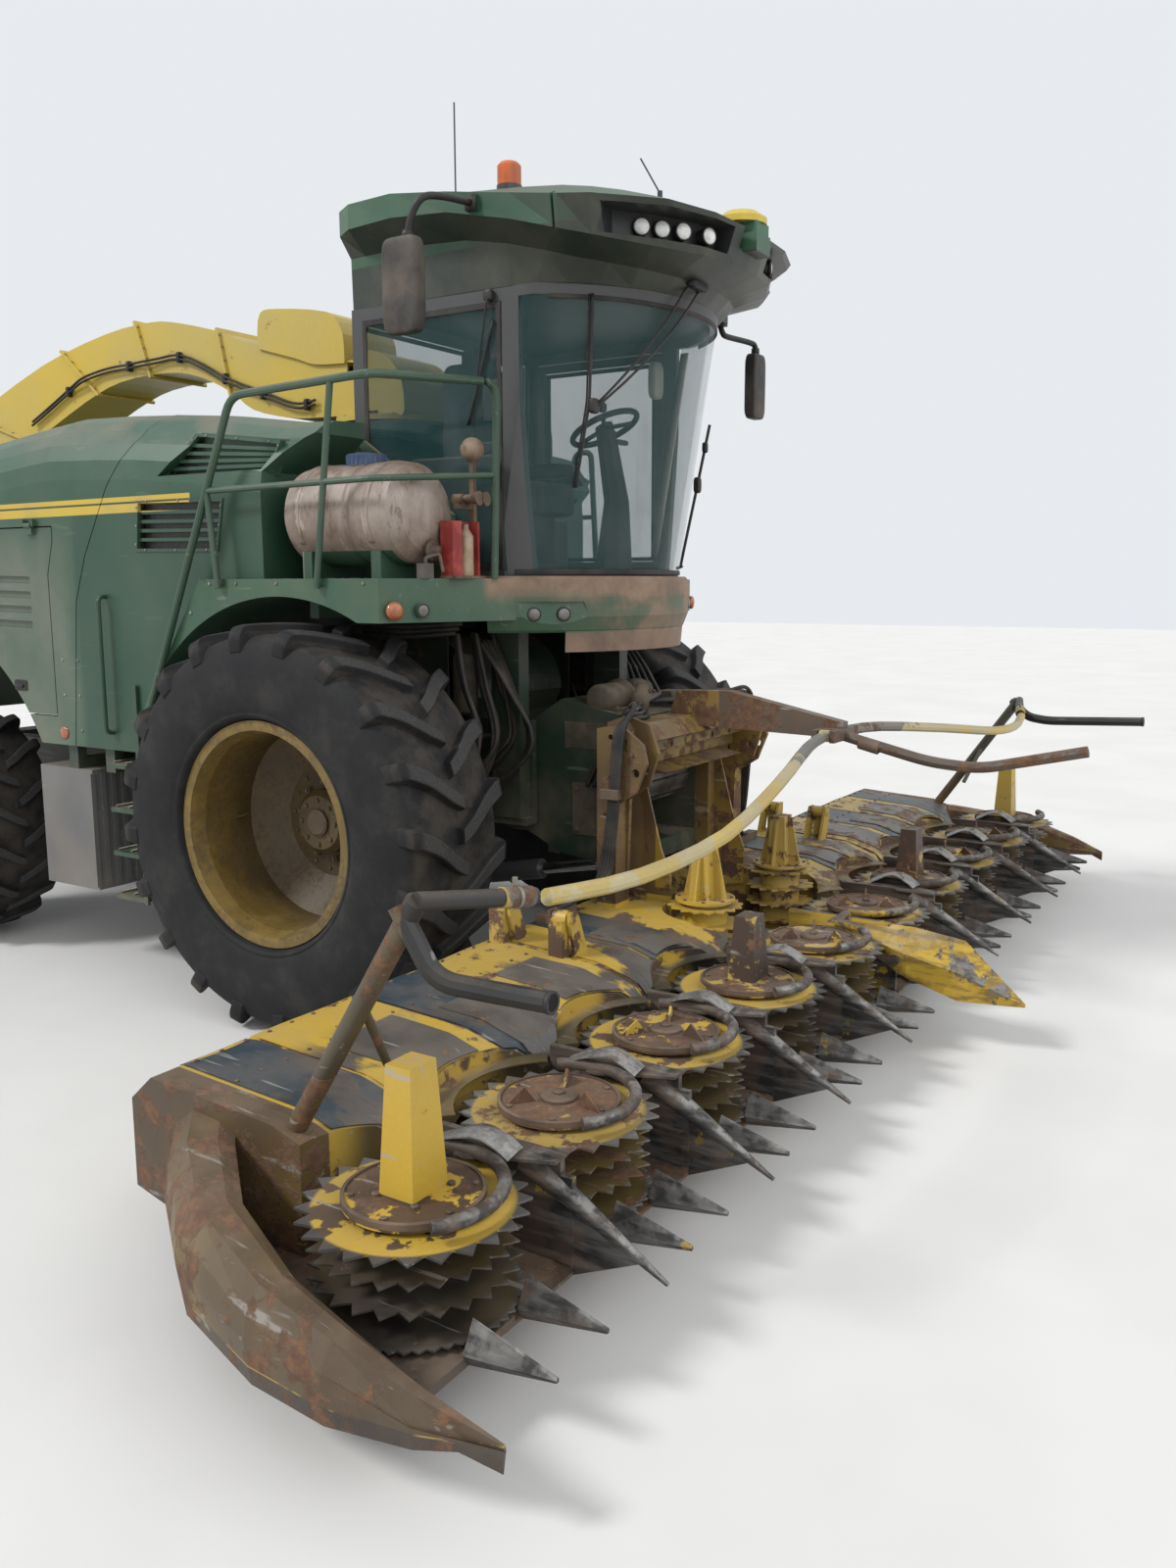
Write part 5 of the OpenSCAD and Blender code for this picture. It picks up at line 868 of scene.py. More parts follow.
# Soft light from the sky, and the sky that shows; suns with their strength, width and turn in degrees
SKY_LIGHT, SKY_SHOWN = (0.93, 0.96, 1.0, 1), (0.80, 0.83, 0.86, 1)
SUNS = (("sun_key", 2.3, 12, (48, 0, -128)), ("sun_fill", 0.8, 60, (55, 0, 25)),
        ("sun_front", 0.9, 60, (60, 0, -40)))
FLOOR_HALF = 60.0


class HARVESTER_OT_stage(bpy.types.Operator):
    """Sets the floor, the soft lights and the camera"""
    bl_idname = "harvester.stage"
    bl_label = "Set the stage"

    def execute(self, context):
        settings = context.scene.harvester_stage
        scene = context.scene
        scene.view_settings.view_transform = "Standard"
        f = Finish("floor_plain")
        tone = f.mix(settings.floor_colour, [v * 0.94 for v in settings.floor_colour],
                     f.noise(0.7, 3.0).ramp(0.3, 0.7))
        floor_finish = f.done(tone, f.noise(4.0) * 0.1 + 0.75)
        mesh = bpy.data.meshes.new("floor")
        corners = [(x * FLOOR_HALF, y * FLOOR_HALF, 0) for x, y in ((-1, -1), (1, -1), (1, 1), (-1, 1))]
        mesh.from_pydata(corners, [], [(0, 1, 2, 3)])
        mesh.materials.append(floor_finish)
        floor = bpy.data.objects.new("floor", mesh)
        scene.collection.objects.link(floor)

        world = bpy.data.worlds.new("sky")
        world.use_nodes = True
        tree = world.node_tree
        tree.nodes.clear()
        ray = add_node(tree, "ShaderNodeLightPath").outputs
        seen = add_node(tree, "ShaderNodeMath", {"operation": "MAXIMUM"},
                        {0: ray["Is Camera Ray"], 1: ray["Is Glossy Ray"]})
        light = add_node(tree, "ShaderNodeBackground", {}, {0: SKY_LIGHT, 1: settings.sky_strength})
        shown = add_node(tree, "ShaderNodeBackground", {}, {0: SKY_SHOWN, 1: 1.0})
        blend = add_node(tree, "ShaderNodeMixShader", {},
                         {0: seen.outputs[0], 1: light.outputs[0], 2: shown.outputs[0]})
        add_node(tree, "ShaderNodeOutputWorld", {}, {0: blend.outputs[0]})
        scene.world = world

        for name, energy, angle, turn in SUNS:
            lamp = bpy.data.lights.new(name, "SUN")
            lamp.energy = energy
            lamp.angle = math.radians(angle)
            holder = bpy.data.objects.new(name, lamp)
            holder.rotation_euler = [math.radians(v) for v in turn]
            scene.collection.objects.link(holder)

        yaw, pitch, roll = CAMERA_TURN
        ahead = Vector((math.sin(yaw) * math.cos(pitch), math.cos(yaw) * math.cos(pitch), math.sin(pitch)))
        right = ahead.cross(Vector((0, 0, 1))).normalized()
        up = right.cross(ahead)
        right, up = (math.cos(roll) * right + math.sin(roll) * up,
                     -math.sin(roll) * right + math.cos(roll) * up)
        camera = bpy.data.cameras.new("camera")
        camera.sensor_width = SENSOR
        camera.lens = LENS
        camera.clip_end = 200.0
        holder = bpy.data.objects.new("camera", camera)
        holder.matrix_world = Matrix.Translation(CAMERA_PLACE + Vector((0, AXLE_Y, 0))) @ Matrix(
            (right, up, -ahead)).transposed().to_4x4()
        scene.collection.objects.link(holder)
        scene.camera = holder
        return {"FINISHED"}


class HARVESTER_OT_paint(bpy.types.Operator):
    """Gives every part of the frame its weathered finish"""
    bl_idname = "harvester.paint"
    bl_label = "Paint the parts"

    def execute(self, context):
        dress(body_green(), "hood", "rear_body", "side_panel_right", "side_panel_left")
        dress(platform_green(), "platforms")
        dress(cab_roof_green(), "cab_roof")
        dress("frame_green", "chassis_frame", "rear_axle", "crop_housing", "feed_housing")
        dress(steps_paint(), "access_steps")
        dress("rail_green", "handrails")
        dress("black_paint", "cab_frame", "cab_door", "mirrors", "lift_barrels", "spout_ram_barrel")
        dress(roof_fitting_colours(), "roof_fittings")
        dress("seat_black", "cab_interior")
        dress(cab_glass_finish(), "cab_glass", "door_glass")
        dress(tank_plastic(), "water_tank")
        dress(fitting_colours(), "platform_fittings")
        dress(knuckle_rust(), "knuckle_right", "knuckle_left")
        dress("engine_grey", "engine_block")
        dress("rod_steel", "lift_rods", "spout_ram_rod")
        dress("spout_yellow", "spout_turret", "spout_arm", "spout_flap")
        dress(rim_yellow(), *["rim_%s_%s" % (end, s) for end in ("front", "rear") for s, _ in SIDES])
        stand = ((-0.76, -1.65, 0.66), (0.76, None, None), BROWN, (0.27, 0.175, 0.030), 0.50)
        bar = ((-0.20, None, 1.36), (0.20, -1.65, None), (0.045, 0.032, 0.024), (0.11, 0.075, 0.050), 0.55)
        gusset = ((-0.78, -1.80, 0.70), (0.78, -1.50, 1.20), (0.33, 0.205, 0.022), (0.20, 0.120, 0.030), 0.35)
        dress(deck_paint("header_deck", [stand, bar, gusset]), "header_frame")
        for side, s in SIDES:
            x = sorted((s * 3.285, s * 3.95))
            ends = ((x[0], None, 0.262), (x[1], None, 0.80),
                    (0.060, 0.038, 0.020), (0.20, 0.130, 0.032), 0.62)
            x = sorted((s * 2.90, s * 3.60))
            post = ((x[0], None, 0.80), (x[1], None, None),
                    (0.040, 0.034, 0.024), (0.115, 0.082, 0.036), 0.42)
            pipe = ((x[0], None, 1.12), (x[1], -2.36, None),
                    (0.006, 0.006, 0.006), (0.018, 0.017, 0.016), 0.14)
            dress(deck_paint("wing_deck_" + side, [ends, post, pipe]), "wing_" + side)
        dress(rotor_paint(), *["rotor_%d" % (n + 1) for n in range(ROTORS)])
        dress("drum_yellow", "feed_drum_right", "feed_drum_left")
        dress(worn_steel(), "header_points", "wing_points_right", "wing_points_left")
        for side, _ in SIDES:
            dress(guard_paint("guard_paint_" + side), "guard_bar_" + side)
        return {"FINISHED"}


def facing(degrees):
    """A level direction, by its turn from straight ahead to the left."""
    return np.array([math.sin(math.radians(degrees)), -math.cos(math.radians(degrees)), 0.0])


def lamp(point, direction, radius):
    """A lamp's lens, a low dome, and its bezel, both ahead of point."""
    r = radius
    lens = turned([(r * 0.93, -0.002), (r * 0.93, 0.003), (r * 0.75, 0.0075), (r * 0.4, 0.0105),
                   (0.0, 0.0115)], point, direction, 36)
    bezel = hoop([(r * 0.90, -0.012), (r * 1.04, -0.012), (r * 1.04, 0.003), (r * 0.98, 0.007),
                  (r * 0.90, 0.004)], point, direction, 36)
    return lens, bezel


class HARVESTER_OT_lamps(bpy.types.Operator):
    """Adds the lenses and bezels of the lamps on the roof, the nose and the platforms, and the tail lamps"""
    bl_idname = "harvester.lamps"
    bl_label = "Add the lamps"

    def execute(self, context):
        radius = context.scene.harvester_body.lamp_radius
        lenses, dim, bezels = [], [], []
        for x, y, degrees in ROOF_LAMPS:
            d = facing(90.0 - degrees)
            lens, bezel = lamp(np.array([x, y - 0.002, 3.862]) + 0.0195 * d, d, radius)
            lenses += both([lens])
            bezels += both([bezel])
        # Dimmer lamps on the nose and the platforms: a base point, how far ahead of it, the way, and the size
        heads = [((0.0, -0.266, 2.093), 1.0345, facing(degrees), 0.86) for degrees in NOSE_LAMPS]
        d = np.array(PLATFORM_LAMP)
        heads.append(((1.335, -0.7232, 2.12), 0.0238, d, 0.80))
        for base, ahead, way, share in heads:
            lens, bezel = lamp(np.array(base) + ahead * way, way, radius * share)
            dim += both([lens])
            bezels += both([bezel])
        marker = turned([(0.043, -0.006), (0.043, 0.006), (0.037, 0.016), (0.020, 0.022), (0.0, 0.0235)],
                        np.array([1.475, -0.669, 2.12]) + 0.0238 * d, d, 36)
        # The clear lenses' pale tone is a painted reflection of the lamp's bowl, which is not built
        clear = lamp_glass("lamp_clear_painted_reflection", (0.62, 0.63, 0.60))
        piece("lamp_lenses", "chassis", clear, lenses, True)
        piece("nose_lenses", "chassis", lamp_glass("lamp_dusty", (0.115, 0.105, 0.095), 0.3), dim, True)
        piece("lamp_bezels", "chassis", "trim_black", bezels, True)
        amber = lamp_glass("lamp_amber", (0.36, 0.100, 0.026), 0.25)
        piece("marker_lenses", "chassis", amber, both([marker]), True)
        # Tail lamps and side reflectors, as this kind of machine has them
        red = lamp_glass("lamp_red", (0.34, 0.012, 0.010), 0.2)
        for z, finish in ((1.93, amber), (2.03, red)):
            shape = turned([(0.048, -0.004), (0.048, 0.008), (0.040, 0.018), (0.020, 0.023), (0.0, 0.024)],
                           (1.20, 4.352, z), (0, 1, 0), 32)
            piece("tail_lamps_%d" % round(z * 100), "chassis", finish, both([shape]), True)
        plinth = block((1.13, 4.345, 1.86), (1.27, 4.353, 2.10))
        piece("tail_lamp_plates", "chassis", "trim_black", both([plinth]), bevel=0.003)
        for y, z, finish in ((1.82, 1.40, amber), (4.20, 2.30, red)):
            shape = turned([(0.036, -0.002), (0.036, 0.005), (0.030, 0.008), (0.0, 0.0085)], (1.481, y, z),
                           (1, 0, 0), 32)
            piece("side_reflectors_%d" % round(y * 100), "chassis", finish, both([shape]), True)
        return {"FINISHED"}


class HARVESTER_OT_mirrors(bpy.types.Operator):
    """Replaces the mirrors with rounded housings, smooth arms and panes"""
    bl_idname = "harvester.mirrors"
    bl_label = "Add the mirrors"

    def execute(self, context):
        arms = [block((-1.030, -0.850, 3.953), (-1.0165, -0.790, 4.021)),
                block((0.881, -1.189, 3.7225), (0.945, -1.129, 3.7375))]
        right = smooth([(-1.024, -0.820, 3.987), (-1.200, -0.782, 3.978), (-1.285, -0.745, 3.955),
                        (-1.308, -0.700, 3.880), (-1.311, -0.672, 3.765)], 6)
        left = smooth([(0.913, -1.158, 3.726), (0.918, -1.172, 3.685), (0.960, -1.182, 3.670),
                       (1.180, -1.220, 3.668), (1.238, -1.230, 3.655), (1.250, -1.230, 3.600)], 6)
        arms += [tube(right, 0.0165, 14), tube(left, 0.0165, 14)]
        clamp = [(0.019, -0.02), (0.024, -0.016), (0.024, 0.016), (0.019, 0.02)]
        arms += [hoop(clamp, (-1.311, -0.675, 3.80), (0.03, -0.2, 1), 20),
                 hoop(clamp, (1.249, -1.230, 3.625), (0, 0, 1), 20)]
        made = piece("mirror_arms", "chassis", "trim_black", arms, True)
        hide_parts("mirrors")
        shells = [pillow((-1.332, -0.665, 3.58), (0.0385, 0.105, 0.210), 0.30, 33, 64),
                  pillow((1.25, -1.232, 3.42), (0.080, 0.0385, 0.190), 0.30, 33, 64)]
        made = piece("mirror_shells", "chassis", "mirror_shell", shells, True)
        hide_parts("mirrors")
        panes = [pillow((-1.2955, -0.665, 3.58), (0.0035, 0.090, 0.188), 0.25, 17, 48),
                 pillow((1.25, -1.1955, 3.42), (0.066, 0.0035, 0.168), 0.25, 17, 48)]
        made = piece("mirror_panes", "chassis", "mirror_pane", panes, True)
        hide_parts("mirrors")
        return {"FINISHED"}


class HARVESTER_OT_wipers(bpy.types.Operator):
    """Adds the wipers of the windscreen and the right window, and the glass's rubber seals"""
    bl_idname = "harvester.wipers"
    bl_label = "Add the wipers and seals"

    def execute(self, context):
        z = np.linspace(3.606, 2.712, 24)
        x = np.interp(z, [2.712, 3.119, 3.606], [-0.614, -0.605, -0.648])
        shapes = [tube(on_screen(x, z, 0.0190), 0.0075, 8), tube(on_screen(x, z, 0.0070), 0.0048, 8)]
        for t in (0.12, 0.36, 0.62, 0.88):
            i = int(t * 23)
            shapes.append(tube([on_screen(x[i], z[i], out) for out in (0.020, 0.006)], 0.0070, 8))
        for x0, z0, x1, z1 in ((-0.169, 3.700, -0.575, 3.111), (-0.060, 3.700, -0.590, 3.080)):
            t = np.linspace(0, 1, 20)
            lift = 0.030 + 0.045 * np.sin(np.pi * t) * 0.4
            arm = on_screen(x0 + (x1 - x0) * t, z0 + (z1 - z0) * t, 0.0)
            arm[:, 1] -= lift
            shapes.append(tube(arm, 0.0065, 8))
        hub = on_screen(-0.590, 3.098, 0.026)
        shapes.append(pillow(hub, (0.032, 0.018, 0.036), 0.5, 17, 24))
        shapes.append(pillow((-0.115, -1.536, 3.706), (0.085, 0.024, 0.020), 0.4, 17, 32))
        # Blade that stands up the left of the screen, on its own short arm
        z = np.linspace(2.345, 3.13, 20)
        stand = np.interp(z, [2.34, 2.8, 3.13], [0.016, 0.040, 0.055])
        left = on_screen(0.585, z, 0.0) + np.stack([0.35 * stand, -stand, 0 * z], -1)
        shapes.append(tube(left, 0.0085, 8))
        shapes.append(pillow(left[11], (0.020, 0.020, 0.045), 0.5, 17, 24))
        shapes.append(pillow(left[16], (0.015, 0.015, 0.030), 0.5, 17, 24))
        shapes.append(tube([on_screen(0.585, 2.330, -0.002), on_screen(0.585, 2.345, 0.024)], 0.010, 10))
        # Right window
        p = np.linspace(0, 1, 12)[:, None]
        blade = np.array([-0.8395, -0.803, 3.50]) * (1 - p) + np.array([-0.8395, -0.640, 3.02]) * p
        arm = np.array([-0.8500, -0.780, 3.62]) * (1 - p) + np.array([-0.8440, -0.700, 3.22]) * p
        shapes += [tube(blade, 0.0065, 8), tube(blade + [0.0125, 0, 0], 0.0045, 8), tube(arm, 0.0055, 8),
                   pillow((-0.838, -0.778, 3.618), (0.018, 0.026, 0.026), 0.5, 17, 24)]
        piece("wipers", "chassis", "trim_black", shapes, True)

        wide = np.linspace(-0.775, 0.775, 60)
        seals = [strip(on_screen(wide, 2.303, 0.001), 0.026, 0.006, (0, -1, 0)),
                 strip(on_screen(wide, 3.592, 0.001), 0.022, 0.006, (0, -1, 0))]
        window = [(-0.836, 2.314), (0.046, 2.314), (0.046, 3.586), (-0.836, 3.586)]
        seals.append(border(window, 0.026, -0.001, 0.006, [(0, 1, 0), (0, 0, 1), (-1, 0, 0), (-0.820, 0, 0)]))
        back = [(-0.748, 2.954), (0.748, 2.954), (0.748, 3.586), (-0.748, 3.586)]
        seals.append(border(back, 0.026, -0.001, 0.006, [(1, 0, 0), (0, 0, 1), (0, 1, 0), (0, 0.120, 0)]))
        piece("glass_seals", "chassis", "hose_black", seals, bevel=0.0015)
        door = [(-0.785, 2.380), (-0.005, 2.380), (-0.005, 3.535), (-0.785, 3.535)]
        inner = border(door, 0.024, -0.007, 0.0045, [(0, 1, 0), (0, 0, 1), (1, 0, 0), (0.820, 0, 0)])
        piece("door_seal", "door", "hose_black", [inner], bevel=0.0015)
        catch = [block((0.820, -0.045, 2.865), (0.835, -0.005, 2.925))]
        piece("door_latch", "door", "trim_black", catch, bevel=0.004)
        return {"FINISHED"}


class HARVESTER_OT_seat(bpy.types.Operator):
    """Adds the cab's cushions, screens, pillar cover and controls, which show through the glass"""
    bl_idname = "harvester.seat"
    bl_label = "Add the seat and controls"

    def execute(self, context):
        cloth = seat_cloth()
        for name, centre, half, power in (
                ("seat_cushion", (0.0, -0.320, 2.712), (0.272, 0.272, 0.094), 0.26),
                ("seat_back", (0.0, -0.085, 3.095), (0.262, 0.082, 0.362), 0.28),
                ("armrest_right", (-0.276, -0.275, 2.890), (0.066, 0.240, 0.042), 0.30),
                ("armrest_left", (0.276, -0.275, 2.890), (0.066, 0.240, 0.042), 0.30),
                ("head_rest", (0.0, -0.100, 3.475), (0.135, 0.055, 0.075), 0.45)):
            made = piece(name, "chassis", cloth, [pillow(centre, half, power, 41, 80)], True)
        boxes = [block((-0.68, -0.83, 3.35), (-0.60, -0.66, 3.55)),
                 block((-0.665, -0.76, 3.05), (-0.600, -0.60, 3.26)),
                 block((-0.52, -0.60, 2.92), (-0.40, -0.42, 2.98)),
                 block((-0.64, -0.66, 2.262), (-0.44, -0.10, 2.90)),
                 block((0.40, -0.30, 2.262), (0.60, 0.02, 2.62))]
        stalk = smooth([(-0.70, -0.82, 3.02), (-0.665, -0.76, 3.10), (-0.640, -0.74, 3.16)], 5)
        lever = smooth([(-0.30, -0.45, 2.92), (-0.30, -0.47, 2.98), (-0.302, -0.485, 3.03)], 5)
        posts = [tube(stalk, 0.010, 10)]
        posts += [tube([(x, -0.092, 3.38), (x, -0.098, 3.44)], 0.008, 10) for x in (-0.055, 0.055)]
        posts.append(tube(lever, 0.012, 12))
        knobs = [pillow((-0.302, -0.490, 3.06), (0.024, 0.030, 0.045), 0.6, 17, 24),
                 pillow((-0.165, -1.010, 3.155), (0.022, 0.022, 0.026), 0.7, 17, 24),
                 pillow((0.075, -0.985, 3.000), (0.060, 0.016, 0.014), 0.5, 13, 20)]
        piece("cab_boxes", "chassis", "cab_plastic", boxes, bevel=0.012)
        piece("cab_levers", "chassis", "cab_plastic", posts + knobs, True)
        z = np.linspace(2.42, 3.56, 16)
        cover = on_screen(0.735, z, -0.070)
        shapes = [strip(cover, 0.105, 0.012, (0.75, -0.66, 0.0)),
                  pillow((0.610, -0.900, 3.40), (0.055, 0.030, 0.105), 0.5)]
        piece("pillar_lining", "chassis", "cab_lining", shapes, True)
        faces = [block((-0.598, -0.815, 3.37), (-0.596, -0.675, 3.53)),
                 block((-0.5985, -0.745, 3.07), (-0.5965, -0.615, 3.24))]
        piece("screen_panes", "chassis", "screen_dark", faces)
        return {"FINISHED"}


# The axles: their place along the machine, the wheels' radius, half the track, how deep the rim's dish
# lies, the radii of the stub and of the tyre's seat, the tyre's width, and the lugs on each half
WHEELS = (("front", 0.0, 1.03, 1.40, 0.20, 0.09, 0.53, 0.72, 20),
          ("rear", 3.2, 0.745, 1.35, 0.13, 0.06, 0.345, 0.60, 18))


class HARVESTER_OT_wheels(bpy.types.Operator):
    """Replaces the tyres with finer ones, and adds the wheels' nuts, hub bolts, bosses, small bolts and valves
    """
    bl_idname = "harvester.wheels"
    bl_label = "Add the tyres and wheel nuts"

    def execute(self, context):
        size = context.scene.harvester_body.bolt_radius
        for end, y, z, track, dish, stub, seat, width, count in WHEELS:
            black = rubber("rubber_" + end, y, z, z)
            for side, sign in SIDES:
                made = piece("tread_%s_%s" % (end, side), "%s_wheel_%s" % (end, side), black,
                             tyre((sign * track, y, z), z, width, seat, count), True)
                made.data.set_sharp_from_angle(angle=SHARP)
                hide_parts("tyre_%s_%s" % (end, side))
            hub, face = stub + 0.08, track - dish + 0.020
            nut = [(0.021, -0.002), (0.021, 0.005), (0.0165, 0.006), (0.0165, 0.026), (0.010, 0.028),
                   (0.010, 0.037), (0.0, 0.038)]
            nuts = [turned(nut, c, (1, 0, 0), 12) for c in circle((face, y, z), hub + 0.034, 10, 9.0)]
            nuts += bolts(circle((face + 0.10, y, z), hub - 0.055, 8), (1, 0, 0), size * 0.9, 0.010)
            boss = turned([(hub * 0.42, -0.002), (hub * 0.42, 0.014), (hub * 0.34, 0.022),
                           (hub * 0.12, 0.024), (0.0, 0.024)], (face + 0.10, y, z), (1, 0, 0), 32)
            small = bolts(circle((face, y, z), hub + 0.092, 16, 5.0), (1, 0, 0), size * 0.8, 0.009)
            inside = seat - 0.037
            stem = tube([(track - 0.055, y + inside + 0.004, z), (track - 0.005, y + inside - 0.012, z),
                         (track + 0.045, y + inside - 0.014, z)], 0.0065, 8)
            for side, sign in SIDES:
                shapes = mirrored(nuts + small + [boss, stem], sign)
                piece("wheel_nuts_%s_%s" % (end, side), "%s_wheel_%s" % (end, side), "hub_brown", shapes)
        return {"FINISHED"}


# Heights of the steps' treads
STEPS_Z = (0.505, 0.755, 1.005, 1.255)


class HARVESTER_OT_panels(bpy.types.Operator):
    """Adds the body's catches and screws, the treads of steps and platforms, and the platforms' lines"""
    bl_idname = "harvester.panels"
    bl_label = "Add the body's fittings"

    def execute(self, context):
        size = context.scene.harvester_body.bolt_radius
        for side, sign in SIDES:
            catches = []
            for y in (2.20, 3.05, 3.80):
                z = 2.10 if y > 2.6 else 1.66
                catches.append(pillow((1.4805, y, z), (0.006, 0.060, 0.032), 0.3, 17, 40))
                catches.append(pillow((1.488, y + 0.004, z - 0.004), (0.008, 0.034, 0.012), 0.4, 13, 24))
            piece("panel_catches_" + side, "side_panel_" + side, "trim_black", mirrored(catches, sign), True)
        # Screws round the grilles and along the hood's seam, and on the platforms' edges
        edge = []
        for corners, half in ((((0.905, 2.800), (0.640, 2.990), (0.070, 2.920), (0.160, 2.800)), 1.418),
                              (((1.085, 2.432), (1.060, 2.668), (0.430, 2.655), (0.480, 2.424)), 1.478)):
            c = np.asarray(corners)
            mid = c.mean(0)
            out = c + 0.008 * np.sign(c - mid)
            for k in range(4):
                for t in (0.12, 0.5, 0.88):
                    p = out[k] * (1 - t) + out[(k + 1) % 4] * t
                    edge.append((half + 0.0085, p[0], p[1]))
        screws = bolts(np.array(edge), (1, 0, 0), size * 0.45, 0.004, 8)
        flank = [(y, 2.247) for y in (-0.56, -0.28, 0.0, 0.28, 0.47)]
        flank += [(0.62, 2.10), (0.83, 1.80), (0.95, 1.58)]
        screws += bolts([(1.545, y, z) for y, z in flank], (1, 0, 0), size * 0.7, 0.006)
        seam = [(1.480, y, z) for y in (1.658, 1.795) for z in (1.42, 1.62, 1.82)]
        screws += bolts(seam, (1, 0, 0), size * 0.6, 0.005, 8)
        piece("body_screws", "chassis", "bolt_zinc", both(screws))
        # Toothed treads on the steps
        treads = []
        x = np.linspace(1.205, 1.475, 46)
        rise, foot = 0.006 + 0.006 * (np.arange(46) % 2), 0 * x - 0.002
        for z in STEPS_Z:
            for y in (1.195, 1.300, 1.405):
                rows = [np.stack([x, 0 * x + y + dy, z + dz], -1)
                        for dy, dz in ((-0.005, foot), (-0.005, rise), (0.005, rise), (0.005, foot))]
                treads.append(grid(np.stack(rows, 1), True, True))
        piece("step_treads", "chassis", "bolt_zinc", both(treads))
        # Platform treads: a raised diamond pattern of short bars on both decks
        bars = []
        for i, y in enumerate(np.arange(-0.55, 0.46, 0.075)):
            for j, x in enumerate(np.arange(0.90, 1.50, 0.075)):
                a = math.radians(45 if (i + j) % 2 else -45)
                d = np.array([math.cos(a), math.sin(a), 0.0]) * 0.021
                c = np.array([x, y, 2.2712])
                bars.append(strip(np.stack([c - d, c, c + d]), 0.007, 0.0016))
        piece("deck_treads", "chassis", "frame_green", both(bars))
        # Lines under the platforms
        lines = []
        for k, z in enumerate((2.045, 2.020, 1.995)):
            path = smooth([(0.86, -0.60 + 0.02 * k, z), (0.98, -0.30, z - 0.02), (0.98, 0.20, z - 0.03),
                           (0.90, 0.60, z - 0.10)], 8)
            lines.append(tube(path, 0.011, 8))
        piece("platform_lines", "chassis", "hose_black", both(lines), True)
        return {"FINISHED"}


class HARVESTER_OT_tank(bpy.types.Operator):
    """Adds the water tank's moulded bands, cap ribs and outlet"""
    bl_idname = "harvester.tank"
    bl_label = "Add the tank's fittings"

    def execute(self, context):
        moulded = []
        a = np.radians(np.linspace(-35, 215, 60))
        out = np.stack([np.cos(a), 0 * a, np.sin(a)], -1)
        w = np.array([0, 0.019, 0])
        for y in BANDS_Y:
            path = np.array([TANK_X, y, TANK_Z]) + TANK_RADIUS * out
            low, high = path - out * 0.003, path + out * 0.0025
            moulded.append(grid(np.stack([low - w, high - w * 0.6, high + w * 0.6, low + w], 1), True, True))
        piece("tank_moulding", "chassis", bpy.data.materials["tank_skin"], moulded, True)
        ribs = []
        for c in circle((TANK_X, CAP_Y, 2.812), 0.0945, 24, axis=2):
            ribs.append(tube(np.stack([c, c + [0, 0, 0.042]]), 0.0052, 6))
        ribs.append(hoop([(0.088, 0.0), (0.097, 0.0), (0.097, 0.008), (0.088, 0.010)], (TANK_X, CAP_Y, 2.848),
                         (0, 0, 1), 48))
        ribs.append(strip([(TANK_X + x, CAP_Y, z) for x, z in ((-0.06, 2.859), (0.0, 2.864), (0.06, 2.859))],
                          0.022, 0.010))
        piece("tank_cap_ribs", "chassis", "cap_blue", ribs)
        outlet = [hoop([(0.030, 0), (0.052, 0), (0.052, 0.012), (0.034, 0.018), (0.030, 0.018)],
                       (TANK_X, -0.720, 2.40), (0, -1, 0), 28),
                  turned([(0.034, -0.004), (0.034, 0.022), (0.022, 0.026), (0.022, 0.046), (0.0, 0.047)],
                         (TANK_X, -0.720, 2.40), (0, -1, 0), 24)]
        piece("tank_outlet", "chassis", "bolt_brown", outlet, True)
        return {"FINISHED"}


# Points of the spout's curves at which its flanges stand, and half a flange's thickness
FLANGES, HALF_FLANGE = (12, 19, 23, 27), 0.0088


